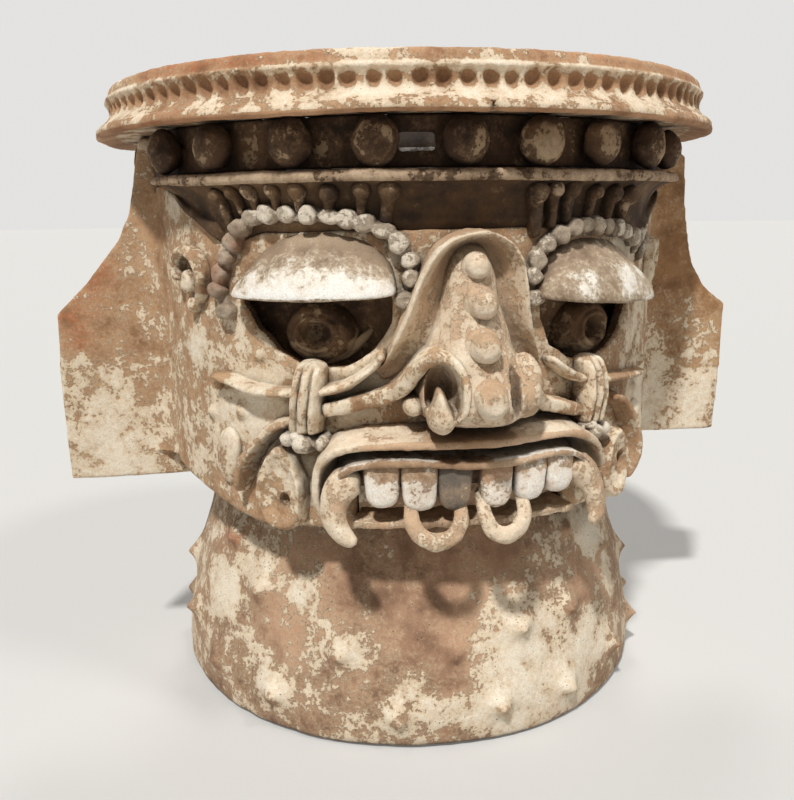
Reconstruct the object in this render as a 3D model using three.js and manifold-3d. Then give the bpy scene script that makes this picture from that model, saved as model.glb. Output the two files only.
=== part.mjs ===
// Ceramic effigy brazier: hourglass fire vessel with a fanged, goggle-eyed face on its front.
// Millimetres, +Z up, the face looks along -Y. "left" and "right" are the viewer's.
// Angles are degrees round the vessel from the middle of the face, plus towards the viewer's right.

import * as THREE from 'three';
import { mergeVertices } from 'three/addons/utils/BufferGeometryUtils.js';
import Module from 'manifold-3d';

const wasm = await Module();
wasm.setup();

// Vessel sizes
const SEAM = 0.3;                 // clearance at every luted joint
const FACETS = 36;                // sides of a turned form
const WALL = 16;                  // wall of the coiled vessel
const FOOT_RADIUS = 352;
const FOOT_BAND = 62;             // height of the upright band at the foot
const WAIST_RADIUS = 285;
const WAIST_HEIGHT = 295;         // here the foot ends and the bowl begins
const BOWL_HEIGHT = 421;
const BOWL_TOP_RADIUS = 352;
const SHOULDER_RADIUS = 320;      // bowl radius where its flare straightens
const SHOULDER_DROP = 156;        // how far that lies below the bowl's top
const SPIKE_WIDTH = 36;
const SPIKE_REACH = 15;
const NECK_STEP = 8;              // the collar stands this far outside the bowl's top
const NECK_WALL = 14;
const COLLAR_HEIGHT = 56;
const BALL_COUNT = 26;
const BALL_CLEAR = 1;             // a ball clears the shelf and the flange by this much
const BALL_START = -1.5;          // angle of the ball nearest the middle
const VENT_ANGLE = -8.4;          // draught slot between two balls
const VENT_WIDTH = 40;
const VENT_HEIGHT = 20;
const FLANGE_OVERHANG = 71;       // reach of the flange beyond the collar
const FLANGE_THICKNESS = 14;
const BAND_SETBACK = 16;          // the impressed band stands this far in from the flange's edge
const BAND_WALL = 19;
const BAND_HEIGHT = 46;
const DENT_COUNT = 108;           // fingertip impressions round the rim
const DENT_DEPTH = 6;

// Face sizes
const MASK_DEPTH = 38;            // the mask's face stands this far outside the bowl's shoulder
const MASK_PROUD = 6;             // and at least this far outside the bowl's top
const MASK_THICKNESS = 18;
const MASK_HALF_ANGLE = 80;
const MASK_HOLLOW_ANGLE = 75.5;
const MASK_HOLLOW_DROP = 86;      // solid clay under the bowl's top, above the mask's hollow
const VISOR_REACH = 34;
const VISOR_THICKNESS = 14;
const VISOR_HALF_ANGLE = 70;
const WING_REACH = 148;           // furthest reach of a wing beyond the bowl's top
const WING_THICKNESS = 14;
const WING_FACE = 60;             // distance of the wing's front face ahead of the vessel axis
const LID_RISE = 64;
const LID_PROUD = 45;
const EYEBALL_SIZE = 76;
const EYEBALL_SETBACK = 10;       // the eyeball stops this far behind the mask's face
const BEAD_SIZE = 22;
const RAY_LENGTH = 26;
const RAY_PROUD = 32;
const NOSE_HALF_WIDTH = 64;
const NOSE_REACH = 90;
const NUB_SIZE = 38;
const NUB_PROUD = 18;             // a ridge nub stands this far off the snout
const FRAME_WIDTH = 36;
const FRAME_PROUD = 38;
const MOUSTACHE_WIDTH = 20;
const MOUSTACHE_PROUD = 58;
const BAR_WIDTH = 18;
const BAR_PROUD = 22;
const STRAP_WIDTH = 37;
const STRAP_PROUD = 35;
const LIP_WIDTH = 17;
const LIP_PROUD = 50;
const TOOTH_WIDTH = 41;
const TOOTH_THICKNESS = 16;
const TOOTH_SETBACK = 17;         // middle of a tooth behind the front of the lips
const FANG_WIDTH = 33;
const RING_WIDTH = 18;
const DISC_HEIGHT = 100;
const DISC_PROUD = 24;
const CURL_WIDTH = 20;
const CURL_PROUD = 26;
const HOOK_WIDTH = 15;
const HOOK_PROUD = 20;

// Places that follow from the sizes
const BOWL_TOP = WAIST_HEIGHT + BOWL_HEIGHT;
const SHOULDER_HEIGHT = BOWL_TOP - SHOULDER_DROP;
const NECK_RADIUS = BOWL_TOP_RADIUS + NECK_STEP;
const BALL_RADIUS = COLLAR_HEIGHT / 2 - BALL_CLEAR;
const FLANGE_BOTTOM = BOWL_TOP + COLLAR_HEIGHT;
const FLANGE_RADIUS = NECK_RADIUS + FLANGE_OVERHANG;
const BAND_RADIUS = FLANGE_RADIUS - BAND_SETBACK;
const TOTAL_HEIGHT = FLANGE_BOTTOM + FLANGE_THICKNESS + BAND_HEIGHT;
const MASK_RADIUS = Math.max(SHOULDER_RADIUS + MASK_DEPTH, BOWL_TOP_RADIUS + MASK_PROUD);
const VISOR_RADIUS = MASK_RADIUS + VISOR_REACH;
const TOOTH_RADIUS = MASK_RADIUS + LIP_PROUD - TOOTH_SETBACK;   // middle of the row of teeth

const rad = (degrees) => degrees * Math.PI / 180;
const onWall = (angle, z, r) => [r * Math.sin(rad(angle)), -r * Math.cos(rad(angle)), z];
const mix = (a, b, t) => a + (b - a) * t;

// The face is drawn on a sheet wrapped round the bowl: angles across, heights up from the floor.
// These two heights of the sheet fall on the waist and on the bowl's top.
const SHEET = { low: 295, high: 716 };
const up = (z) => mix(WAIST_HEIGHT, BOWL_TOP, (z - SHEET.low) / (SHEET.high - SHEET.low));

// Straight-line reading of a list of [key, value] pairs
function along(pairs, key) {
  if (key <= pairs[0][0]) return pairs[0][1];
  for (let i = 1; i < pairs.length; i++) {
    if (key <= pairs[i][0]) {
      const [k0, v0] = pairs[i - 1];
      const [k1, v1] = pairs[i];
      return mix(v0, v1, (key - k0) / (k1 - k0));
    }
  }
  return pairs[pairs.length - 1][1];
}

// Closed solid from points and triangles, turned to face out
function solidFrom(points, triangles) {
  let volume = 0;
  for (const [a, b, c] of triangles) {
    const [p, q, r] = [points[a], points[b], points[c]];
    volume += p[0] * (q[1] * r[2] - q[2] * r[1])
      + p[1] * (q[2] * r[0] - q[0] * r[2]) + p[2] * (q[0] * r[1] - q[1] * r[0]);
  }
  const facing = volume < 0 ? triangles.map(([a, b, c]) => [a, c, b]) : triangles;
  return new wasm.Manifold(new wasm.Mesh({
    numProp: 3,
    vertProperties: new Float32Array(points.flat()),
    triVerts: new Uint32Array(facing.flat()),
  }));
}

// Skin over a row of rings; open rows get a fan at each end, or the given cap triangles.
// A tip draws the last fan to a point, a start the first one.
function loft(rings, closed = false, cap = null, tip = null, start = null) {
  const n = rings[0].length;
  const points = rings.flat();
  const triangles = [];
  for (let i = 0; i < (closed ? rings.length : rings.length - 1); i++) {
    const k = (i + 1) % rings.length;
    for (let j = 0; j < n; j++) {
      const m = (j + 1) % n;
      triangles.push([i * n + j, i * n + m, k * n + m], [i * n + j, k * n + m, k * n + j]);
    }
  }
  if (!closed) {
    for (const [first, flip] of [[0, false], [(rings.length - 1) * n, true]]) {
      let fan = cap;
      if (!fan) {
        const middle = [0, 1, 2].map((axis) => {
          let sum = 0;
          for (let j = 0; j < n; j++) sum += points[first + j][axis];
          return sum / n;
        });
        points.push((flip ? tip : start) ?? middle);
        fan = [];
        for (let j = 0; j < n; j++) fan.push([points.length - 1 - first, (j + 1) % n, j]);
      }
      for (const [a, b, c] of fan) {
        triangles.push(flip ? [first + a, first + c, first + b] : [first + a, first + b, first + c]);
      }
    }
  }
  return solidFrom(points, triangles);
}

// Full turn of a profile of [radius, height] points
function turned(profile, facets = FACETS) {
  const outline = profile.map(([r, z]) => new THREE.Vector2(r, z));
  if (profile[0][0] > 0) outline.push(outline[0].clone());
  let geometry = new THREE.LatheGeometry(outline, facets);
  geometry.rotateX(Math.PI / 2);
  geometry.deleteAttribute('normal');
  geometry.deleteAttribute('uv');
  geometry = mergeVertices(geometry, 1e-3);
  const place = geometry.getAttribute('position');
  const points = [];
  for (let i = 0; i < place.count; i++) points.push([place.getX(i), place.getY(i), place.getZ(i)]);
  const index = geometry.getIndex().array;
  const triangles = [];
  for (let i = 0; i < index.length; i += 3) {
    const [a, b, c] = [index[i], index[i + 1], index[i + 2]];
    if (a !== b && b !== c && a !== c) triangles.push([a, b, c]);
  }
  return solidFrom(points, triangles);
}

// Triangles over a flat outline, facing as the first ring of a loft needs
function capOver(flat) {
  const cap = THREE.ShapeUtils.triangulateShape(flat, []);
  return THREE.ShapeUtils.isClockWise(flat) ? cap : cap.map(([a, b, c]) => [a, c, b]);
}

// Part of a turn whose profile may change with the angle
function sector(from, to, steps, profileAt) {
  const rings = [];
  for (let i = 0; i <= steps; i++) {
    const angle = mix(from, to, i / steps);
    rings.push(profileAt(angle).map(([r, z]) => onWall(angle, z, r)));
  }
  const flat = profileAt(from).map(([r, z]) => new THREE.Vector2(r, z));
  return loft(rings, false, capOver(flat));
}

// Block with an outline of [angle, height] points, between two radii
function block(outline, inner, outer) {
  const flat = outline.map(([a, z]) => new THREE.Vector2(a, z));
  return loft([inner, outer].map((r) => outline.map(([a, z]) => onWall(a, z, r))), false, capOver(flat));
}

// Cross-sections of rolled and cut clay: [across, out], base on the wall
const ROLL = [[-1, 0], [-0.85, 0.62], [-0.4, 0.96], [0.4, 0.96], [0.85, 0.62], [1, 0], [0, 0]];
const SLAB = [[-1, 0], [-1, 0.9], [-0.75, 1], [0.75, 1], [1, 0.9], [1, 0], [0, 0]];
const CORDS = [[-1, 0], [-0.9, 0.85], [-0.35, 0.8], [0, 1], [0.35, 0.8], [0.9, 0.85], [1, 0], [0, 0]];
const CRESTED = [[-1, 0], [-1, 0.2], [0, 0.5], [0.65, 0.97], [1, 0.85], [1, 0], [0, 0]];
const KNOBBED = [[-1, 0], [-1, 0.45], [0.5, 1], [1, 0.85], [1, 0]];
const PELLET = [[-1, 0], [-0.6, 0.85], [0.6, 0.85], [1, 0]];
const ROD = [[-1, 0], [-0.5, 0.87], [0.5, 0.87], [1, 0], [0.5, -0.87], [-0.5, -0.87]];

// How far a point of a section stands out: a share of the thickness, or 1 mm into the wall below it
const raised = (out, height) => (out < 0 ? -1 : out * height);
// The section of a trimming copy, which also reaches into the wall
const skirted = (section) => section.flatMap(([across, out]) => {
  if (out !== 0) return [[across, out]];
  if (across === -1) return [[across, -1], [across, 0]];
  return across === 1 ? [[across, 0], [across, -1]] : [[across, -1]];
});

// Clay roll laid along [angle, sheet height, share of width, share of thickness, lift] stations
function roll(stations, { width: wide, proud, section = ROLL, steps = 10, base = MASK_RADIUS + SEAM }) {
  return (grow) => {
    const line = new THREE.CatmullRomCurve3(
      stations.map(([a, z]) => new THREE.Vector3(rad(a) * MASK_RADIUS, up(z), 0)));
    const size = new THREE.CatmullRomCurve3(
      stations.map(([, , w, t, lift]) => new THREE.Vector3(w * wide, t * proud, lift ?? 0)));
    const shape = grow && section !== ROD ? skirted(section) : section;
    const rings = [];
    for (let i = 0; i <= steps; i++) {
      const middle = line.getPoint(i / steps);
      const way = line.getTangent(i / steps);
      if (i === 0) middle.addScaledVector(way, -grow);
      if (i === steps) middle.addScaledVector(way, grow);
      const { x: width, y: thick, z: lift } = size.getPoint(i / steps);
      rings.push(shape.map(([across, out]) => {
        const side = across * (width / 2 + grow);
        const s = middle.x - way.y * side;
        const z = middle.y + way.x * side;
        const height = section === ROD ? out * (thick / 2 + grow) : raised(out, thick + grow);
        return onWall(s / MASK_RADIUS * 180 / Math.PI, z, base + lift + height);
      }));
    }
    return loft(rings);
  };
}

// Rounded lump at a sheet height: width round the vessel, height, and how far it stands out
function lump(angle, sheet, width, height, proud, { base = MASK_RADIUS + SEAM, sides = 10 } = {}) {
  return (grow) => {
    const z = up(sheet);
    const rings = [];
    const levels = [[1, 0], [0.93, 0.42], [0.66, 0.78], [0.28, 0.97]];
    if (grow) levels.unshift([1, -1 / proud]);
    const foot = base + width * width / (16 * MASK_RADIUS);   // a wide base is flat, the wall is round
    for (const [reach, out] of levels) {
      const ring = [];
      for (let i = 0; i < sides; i++) {
        const turn = 2 * Math.PI * i / sides;
        const s = Math.cos(turn) * reach * (width / 2 + grow);
        const r = foot + out * (proud + grow);
        ring.push(onWall(angle + s / MASK_RADIUS * 180 / Math.PI,
          z + Math.sin(turn) * reach * (height / 2 + grow), r));
      }
      rings.push(ring);
    }
    return loft(rings);
  };
}

// Ellipsoid about a point on [angle, height, radius]
function ball(angle, z, r, width, height, depth, sides = 8) {
  const levels = 2;
  const rings = [];
  for (let k = 0; k <= levels; k++) {
    const tilt = Math.PI * mix(0.24, 0.76, k / levels);
    const ring = [];
    for (let i = 0; i < sides; i++) {
      const turn = 2 * Math.PI * i / sides;
      const s = Math.cos(turn) * Math.sin(tilt) * width / 2;
      const out = Math.sin(turn) * Math.sin(tilt) * depth / 2;
      ring.push(onWall(angle + s / r * 180 / Math.PI, z + Math.cos(tilt) * height / 2, r + out));
    }
    rings.push(ring);
  }
  return loft(rings, false, null, onWall(angle, z - height / 2, r), onWall(angle, z + height / 2, r));
}

const largest = (solid) => solid.decompose().reduce((best, next) => (
  next.volume() > best.volume() ? next : best));

// Vessel forms
const bowlProfile = [
  [WAIST_HEIGHT, WAIST_RADIUS],
  [WAIST_HEIGHT + 0.17 * (SHOULDER_HEIGHT - WAIST_HEIGHT), WAIST_RADIUS + 2],
  [mix(WAIST_HEIGHT, SHOULDER_HEIGHT, 0.55), mix(WAIST_RADIUS, SHOULDER_RADIUS, 0.45)],
  [SHOULDER_HEIGHT, SHOULDER_RADIUS],
  [BOWL_TOP, BOWL_TOP_RADIUS],
];
const bowlRadius = (z) => along(bowlProfile, z);

const footProfile = [
  [0, FOOT_RADIUS],
  [FOOT_BAND, FOOT_RADIUS],
  [0.5 * WAIST_HEIGHT, mix(FOOT_RADIUS, WAIST_RADIUS, 0.28)],
  [0.82 * WAIST_HEIGHT, mix(FOOT_RADIUS, WAIST_RADIUS, 0.68)],
  [WAIST_HEIGHT, WAIST_RADIUS],
];
const footRadius = (z) => along(footProfile, z);

function pedestal() {
  const outer = footProfile.map(([z, r]) => [r, z]);
  const inner = footProfile.filter((_, i) => i !== 1).map(([z, r]) => [r - WALL, z]).reverse();
  let body = turned([...outer, ...inner]);
  // Pinched spikes as [angle, share of the foot's height]: those of the front as they stand,
  // the rest in the same two staggered rows
  const spikes = [
    [-77.6, 0.342], [-60.6, 0.22], [-60.4, 0.807], [-47.5, 0.63], [-41, 0.193], [-25.7, 0.427],
    [-12.9, 0.159], [-1.1, 0.441], [8.7, 0.19], [14.6, 0.512], [25.9, 0.183], [29.3, 0.525],
    [32.6, 0.864], [44.6, 0.234], [47, 0.705],
  ];
  for (let angle = 64; angle < 275; angle += 17.6) spikes.push([angle, 0.21], [angle + 8.8, 0.51]);
  for (const [angle, share] of spikes) {
    const z = share * WAIST_HEIGHT;
    const r = footRadius(z) - 5;
    const ring = [];
    for (let i = 0; i < 5; i++) {
      const turn = 2 * Math.PI * i / 5;
      const [x, y, h] = onWall(angle, z + Math.sin(turn) * SPIKE_WIDTH / 2, r);
      const side = Math.cos(turn) * SPIKE_WIDTH / 2;
      ring.push([x + side * Math.cos(rad(angle)), y + side * Math.sin(rad(angle)), h]);
    }
    body = body.add(loft([ring], false, null, onWall(angle, z - 3, r + 5 + SPIKE_REACH)));
  }
  return body;
}

function bowl() {
  const floor = WAIST_HEIGHT + SEAM;
  const outer = bowlProfile.map(([z, r]) => [r, Math.max(z, floor)]);
  const inner = bowlProfile.slice(2).map(([z, r]) => [r - WALL, z]).reverse();
  return turned([[0, floor], ...outer, ...inner,
    [WAIST_RADIUS - 3 * WALL, floor + WALL + 6], [0, floor + WALL]]);
}

// Ball of the collar: rings round its own outward axis, the first one sunk in the neck
function collarBall(i, grow) {
  const angle = BALL_START + 360 * i / BALL_COUNT;
  const middle = (BOWL_TOP + FLANGE_BOTTOM) / 2;
  const sides = 8;
  const rings = [[0.72, -0.1], [1, 0.75], [0.76, 1.55]].map(([reach, out]) => {
    const ring = [];
    for (let k = 0; k < sides; k++) {
      const turn = 2 * Math.PI * (k + 0.5) / sides;
      const across = Math.cos(turn) * reach * (BALL_RADIUS + 2 + grow) / NECK_RADIUS * 180 / Math.PI;
      ring.push(onWall(angle + across, middle + Math.sin(turn) * reach * (BALL_RADIUS + grow) / 0.924,
        NECK_RADIUS + out * BALL_RADIUS + (out > 1 ? grow : 0)));
    }
    return ring;
  });
  return loft(rings, false, null, onWall(angle, middle, NECK_RADIUS + 1.95 * BALL_RADIUS + grow));
}

function ballCollar() {
  const low = BOWL_TOP + SEAM;
  const high = FLANGE_BOTTOM - SEAM;
  let collar = turned([[NECK_RADIUS - NECK_WALL, low], [NECK_RADIUS, low],
    [NECK_RADIUS, high], [NECK_RADIUS - NECK_WALL, high]]);
  const middle = (low + high) / 2;
  for (let i = 0; i < BALL_COUNT; i++) collar = collar.add(collarBall(i, 0));
  const half = VENT_WIDTH / 2 / NECK_RADIUS * 180 / Math.PI;
  const slot = [[-half, -0.5], [half, -0.5], [half, 0.5], [-half, 0.5]]
    .map(([a, h]) => [VENT_ANGLE + a, middle + h * VENT_HEIGHT]);
  return collar.subtract(block(slot, NECK_RADIUS - 2 * NECK_WALL, NECK_RADIUS + NECK_WALL));
}

function rimFlange() {
  const top = FLANGE_BOTTOM + FLANGE_THICKNESS;
  const inside = NECK_RADIUS - NECK_WALL;
  return turned([
    [inside, FLANGE_BOTTOM], [FLANGE_RADIUS - 36, FLANGE_BOTTOM], [FLANGE_RADIUS - 3, FLANGE_BOTTOM - 6],
    [FLANGE_RADIUS, FLANGE_BOTTOM - 1], [FLANGE_RADIUS - 1, FLANGE_BOTTOM + 5], [BAND_RADIUS + 1, top],
    [inside, top],
  ]);
}

function impressedBand() {
  const low = FLANGE_BOTTOM + FLANGE_THICKNESS + SEAM;
  const rings = [];
  for (let i = 0; i < 2 * DENT_COUNT; i++) {
    const dent = i % 2 ? DENT_DEPTH : 0;
    const profile = [
      [BAND_RADIUS - BAND_WALL, low], [BAND_RADIUS - 2, low],
      [BAND_RADIUS - 2 - dent, low + 0.38 * BAND_HEIGHT], [BAND_RADIUS - 0.63 * BAND_WALL, TOTAL_HEIGHT],
    ];
    rings.push(profile.map(([r, z]) => onWall(180 * i / DENT_COUNT, z, r)));
  }
  return loft(rings, true);
}

// Lower line of the cove under the visor: high over the face, dropping beside the brows, then
// rising to a point at each end
const coveLow = (angle) => up(along([[-70, 703], [-62, 688], [-54, 663], [-46, 634], [-38, 650], [0, 652],
  [34, 652], [42, 636], [50, 654], [57, 686], [70, 705]], angle));
// Beyond the brows the cove's lower edge stands off the mask as a lip
const coveLip = (angle) => 11 * along([[-68, 0], [-60, 1], [-50, 1], [-44, 0], [41, 0], [47, 1], [58, 1],
  [68, 0]], angle);
// Lower edge of the mask: the jaw sags at the cheeks
const jawLow = (angle) => up(along([[-80, 331], [-66, 324], [-42, 293], [-26, 300], [26, 304], [42, 300],
  [66, 326], [80, 331]], angle));

function visor(grow) {
  const under = BOWL_TOP - VISOR_THICKNESS;
  const half = VISOR_HALF_ANGLE + grow / 5;
  return sector(-half, half, 26, (angle) => {
    const low = coveLow(angle) - grow;
    const rise = Math.max(under - low, 4);
    const reach = VISOR_REACH - 3;
    const back = [0, 1].map((t) => {
      const z = mix(BOWL_TOP + grow, low, t);
      return [bowlRadius(z) + 2 * SEAM - 3 * grow, z];
    });
    return [
      ...back,
      [MASK_RADIUS + coveLip(angle) + grow, low],
      [MASK_RADIUS + Math.max(0.03 * reach, coveLip(angle) - 3) + grow, low + 0.12 * rise + 1],
      [MASK_RADIUS + 0.08 * reach + grow, low + 0.42 * rise + 1],
      [MASK_RADIUS + 0.3 * reach + grow, low + 0.75 * rise + 1],
      [MASK_RADIUS + reach + grow, low + rise + 1],
      [VISOR_RADIUS + grow, low + rise + 3],
      [VISOR_RADIUS + grow, BOWL_TOP - 3],
      [VISOR_RADIUS - 4, BOWL_TOP + grow],
    ];
  });
}

const EYES = {
  left: [[-43.4, 580], [-43.8, 566], [-40.5, 538], [-36, 513], [-29.6, 494], [-22, 497], [-16.8, 516],
    [-13, 548], [-12.8, 580]],
  right: [[15.2, 572], [15.8, 545], [18, 515], [22.5, 497], [28.7, 490], [35, 502], [39.5, 525],
    [42.4, 552], [42.6, 566]],
};
const MOUTH = [[-20.5, 250], [-20.5, 372], [-17.5, 386], [0, 384], [17.5, 386], [21.5, 372], [21.5, 250]];

function faceMask() {
  const steps = 25;
  let mask = sector(-MASK_HALF_ANGLE, MASK_HALF_ANGLE, steps, (angle) => {
    const top = coveLow(angle) + 3;
    const low = jawLow(angle);
    const back = [top, SHOULDER_HEIGHT, ...bowlProfile.slice(1, 3).map(([z]) => z).reverse(), low]
      .map((z) => [bowlRadius(z) + 2 * SEAM, z]);
    return [...back, [MASK_RADIUS - 3, low], [MASK_RADIUS, low + 4], [MASK_RADIUS, top]];
  });
  const inner = MASK_RADIUS - MASK_THICKNESS;
  const back = Math.min(WAIST_RADIUS, inner) / 2;
  const below = up(SHEET.low) - FOOT_BAND;
  const hollowTop = BOWL_TOP - MASK_HOLLOW_DROP;
  mask = mask.subtract(sector(-MASK_HOLLOW_ANGLE, MASK_HOLLOW_ANGLE, 26, () => [
    [back, below], [inner, below], [inner, hollowTop], [back, hollowTop],
  ]));
  for (const outline of [EYES.left, EYES.right, MOUTH]) {
    mask = mask.subtract(block(outline.map(([a, z]) => [a, up(z)]),
      inner - 2 * MASK_THICKNESS, MASK_RADIUS + 3 * MASK_THICKNESS));
  }
  // Small pellets pinched out of the cheeks
  for (const [angle, z, size] of [[-39.6, 507, 18], [-44.9, 433, 20], [-54.1, 425, 18],
    [47.5, 436, 18], [52, 470, 18]]) {
    mask = mask.add(lump(angle, z, size, size, 9, { base: MASK_RADIUS - 2, sides: 6 })(0));
  }
  const wide = 3 * FLANGE_RADIUS;
  const behind = new THREE.BoxGeometry(wide, wide, 3 * TOTAL_HEIGHT);
  behind.translate(0, wide / 2 - WING_FACE - SEAM, 0);
  return mask.subtract(fromGeometry(behind)).subtract(visor(SEAM));
}

function fromGeometry(source) {
  let geometry = source.clone();
  for (const name of ['normal', 'uv']) geometry.deleteAttribute(name);
  geometry = mergeVertices(geometry, 1e-3);
  const place = geometry.getAttribute('position');
  const points = [];
  for (let i = 0; i < place.count; i++) points.push([place.getX(i), place.getY(i), place.getZ(i)]);
  const index = geometry.getIndex().array;
  const triangles = [];
  for (let i = 0; i < index.length; i += 3) triangles.push([index[i], index[i + 1], index[i + 2]]);
  return solidFrom(points, triangles);
}

// Side wing: flat slab with a concave upper edge, cut to the vessel's outline.
// Points are [share of the reach, sheet height].
const WINGS = {
  left: [[0.99, 301], [1, 418], [0.97, 537], [0.7, 577], [0.51, 613], [0.38, 636], [0.27, 669],
    [0.21, 709], [0.16, 752]],
  right: [[0.97, 320], [1.01, 431], [1.02, 522], [0.77, 551], [0.62, 587], [0.55, 621], [0.49, 681],
    [0.47, 745]],
};
function wing(side) {
  const hand = side === 'left' ? -1 : 1;
  const edge = WINGS[side].map(([share, z]) => [BOWL_TOP_RADIUS + share * WING_REACH, up(z)]);
  const inside = WAIST_RADIUS / 2;
  const outline = new THREE.Shape([[inside, edge[0][1]], ...edge, [inside, edge.at(-1)[1]]]
    .map(([x, z]) => new THREE.Vector2(hand * x, z)));
  const geometry = new THREE.ExtrudeGeometry(outline, { depth: WING_THICKNESS, bevelEnabled: false });
  geometry.rotateX(Math.PI / 2);
  geometry.translate(0, WING_THICKNESS - WING_FACE, 0);
  let slab = fromGeometry(geometry).subtract(vesselCore());
  for (let i = 0; i < BALL_COUNT; i++) slab = slab.subtract(collarBall(i, 2 * SEAM));
  return largest(slab);
}

// Outside of the vessel above the waist with the joint clearance added, for trimming what rests on it
function vesselCore() {
  const clear = 2 * SEAM;
  const below = WAIST_HEIGHT - FOOT_BAND;
  const above = TOTAL_HEIGHT + FOOT_BAND;
  return turned([[0, below], [WAIST_RADIUS + clear, below], ...bowlProfile.map(([z, r]) => [r + clear, z]),
    [NECK_RADIUS + clear, BOWL_TOP + 0.1], [NECK_RADIUS + clear, above], [0, above]]);
}

// Hooded eyelid: arched on the mask, standing furthest out along its lower edge
function eyelid({ outer, inner, rise = LID_RISE, proud = LID_PROUD }) {
  return (grow) => {
    const steps = 9;
    const hood = [[0, 0], [1, -0.06], [1.02, 0.06], [0.93, 0.38], [0.68, 0.7], [0.32, 0.92], [0, 1]];
    const shape = grow ? [[-1, 0], ...hood, [-1, 1]] : hood;
    const rings = [];
    for (let i = 0; i <= steps; i++) {
      const u = mix(-0.985, 0.985, i / steps);
      const round = Math.sqrt(1 - u * u);
      const angle = mix(outer[0], inner[0], (u * (1 + grow / 90) + 1) / 2);
      const low = up(mix(outer[1], inner[1], (u + 1) / 2)) - grow;
      const high = rise * round ** 0.8 + 2 * grow;
      const out = (proud - 8) * round ** 0.7 + 8 + grow;
      rings.push(shape.map(([o, h]) => onWall(angle, low + h * high, MASK_RADIUS + SEAM + raised(o, out))));
    }
    return loft(rings);
  };
}

function eyeball(angle, sheet) {
  const base = bowlRadius(up(sheet)) - 6;
  const proud = Math.max(MASK_RADIUS - EYEBALL_SETBACK - base, 8);
  return lump(angle, sheet, EYEBALL_SIZE, EYEBALL_SIZE, proud, { base, sides: 12 });
}

const DEGREE = MASK_RADIUS * Math.PI / 180;   // a degree on the mask, in millimetres

// Row of pellets pressed side by side along a guide line
function beadArc(guide, count) {
  const line = new THREE.CatmullRomCurve3(guide.map(([a, z]) => new THREE.Vector3(a, z / DEGREE, 0)));
  const stations = [];
  for (let i = 0; i <= 2 * count; i++) {
    const spot = line.getPointAt(i / (2 * count));
    const full = i % 2 ? 1 : 0.55;
    stations.push([spot.x, DEGREE * spot.y, full, full]);
  }
  return roll(stations, { width: BEAD_SIZE, proud: 0.75 * BEAD_SIZE, steps: 2 * count, section: PELLET });
}

// Comb of short rods with knobbed tips, fanning out from the pellets up under the visor
function rayFan(guide, count) {
  const line = new THREE.CatmullRomCurve3(guide.map(([a, z]) => new THREE.Vector3(a, z / DEGREE, 0)));
  const stations = [];
  for (let i = 0; i < count; i++) {
    for (const [part, reach, out] of [[0, 0.3, 0.5], [0.3, 1, 1], [0.7, 1, 1]]) {
      const spot = line.getPointAt((i + part) / count);
      stations.push([spot.x, DEGREE * spot.y, reach, out]);
    }
  }
  return roll(stations, { width: RAY_LENGTH, proud: RAY_PROUD, steps: stations.length - 1,
    section: KNOBBED });
}

// Snout: wide muzzle narrowing to the brow, as [sheet height, share of half width, share of reach]
const SNOUT = [[438, 0.75, 0.64], [450, 0.92, 0.91], [468, 1, 1], [496, 0.94, 0.91], [530, 0.81, 0.76],
  [570, 0.64, 0.59], [612, 0.5, 0.44], [628, 0.36, 0.33], [640, 0.14, 0.12]];
const SNOUT_MIDDLE = 0.6;
const snoutReach = (sheet) => NOSE_REACH * along(SNOUT.map(([z, , out]) => [z, out]), sheet);

// A nostril is scooped out at each side
function nose(grow) {
  const foot = MASK_RADIUS + 2 * SEAM;
  const section = [[-1, 0], [-0.94, 0.36], [-0.66, 0.76], [-0.24, 0.98], [0.24, 0.98], [0.66, 0.76],
    [0.94, 0.36], [1, 0], [0.5, 0], [0, 0], [-0.5, 0]];
  const rings = SNOUT.map(([z, half, out], i) => {
    const lift = i === 0 ? -grow : (i === SNOUT.length - 1 ? grow : 0);
    return (grow ? skirted(section) : section).map(([across, o]) => onWall(
      SNOUT_MIDDLE + across * (half * NOSE_HALF_WIDTH + grow) / MASK_RADIUS * 180 / Math.PI,
      up(z) + lift, foot + raised(o, out * NOSE_REACH + grow)));
  });
  const hollows = [-1, 1].map((side) => ball(
    SNOUT_MIDDLE + side * 0.75 * NOSE_HALF_WIDTH / MASK_RADIUS * 180 / Math.PI, up(473),
    MASK_RADIUS + 0.64 * NOSE_REACH, 0.64 * NOSE_HALF_WIDTH - 2 * grow, 0.9 * NOSE_HALF_WIDTH - 2 * grow,
    0.78 * NOSE_REACH - 2 * grow));
  return hollows.reduce((snout, hollow) => snout.subtract(hollow), loft(rings));
}

// Front tooth: flat slab with rounded lower corners, hanging from the lip
function tooth(angle, share, sheetLow) {
  return (grow) => {
    const low = up(sheetLow);
    const levels = [[low, 0.62], [low + 5, 0.88], [low + 13, 1], [up(398), 1]];
    const deep = TOOTH_THICKNESS / 2;
    const rings = levels.map(([z, part], i) => {
      const half = (part * share * TOOTH_WIDTH / 2 + grow) / TOOTH_RADIUS * 180 / Math.PI;
      const lift = i === 0 ? -grow : 0;
      return [[-1, -deep - grow], [-1, deep - 3], [-0.7, deep + grow], [0.7, deep + grow], [1, deep - 3],
        [1, -deep - grow]]
        .map(([across, out]) => onWall(angle + across * half, z + lift, TOOTH_RADIUS + out));
    });
    return loft(rings);
  };
}

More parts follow.
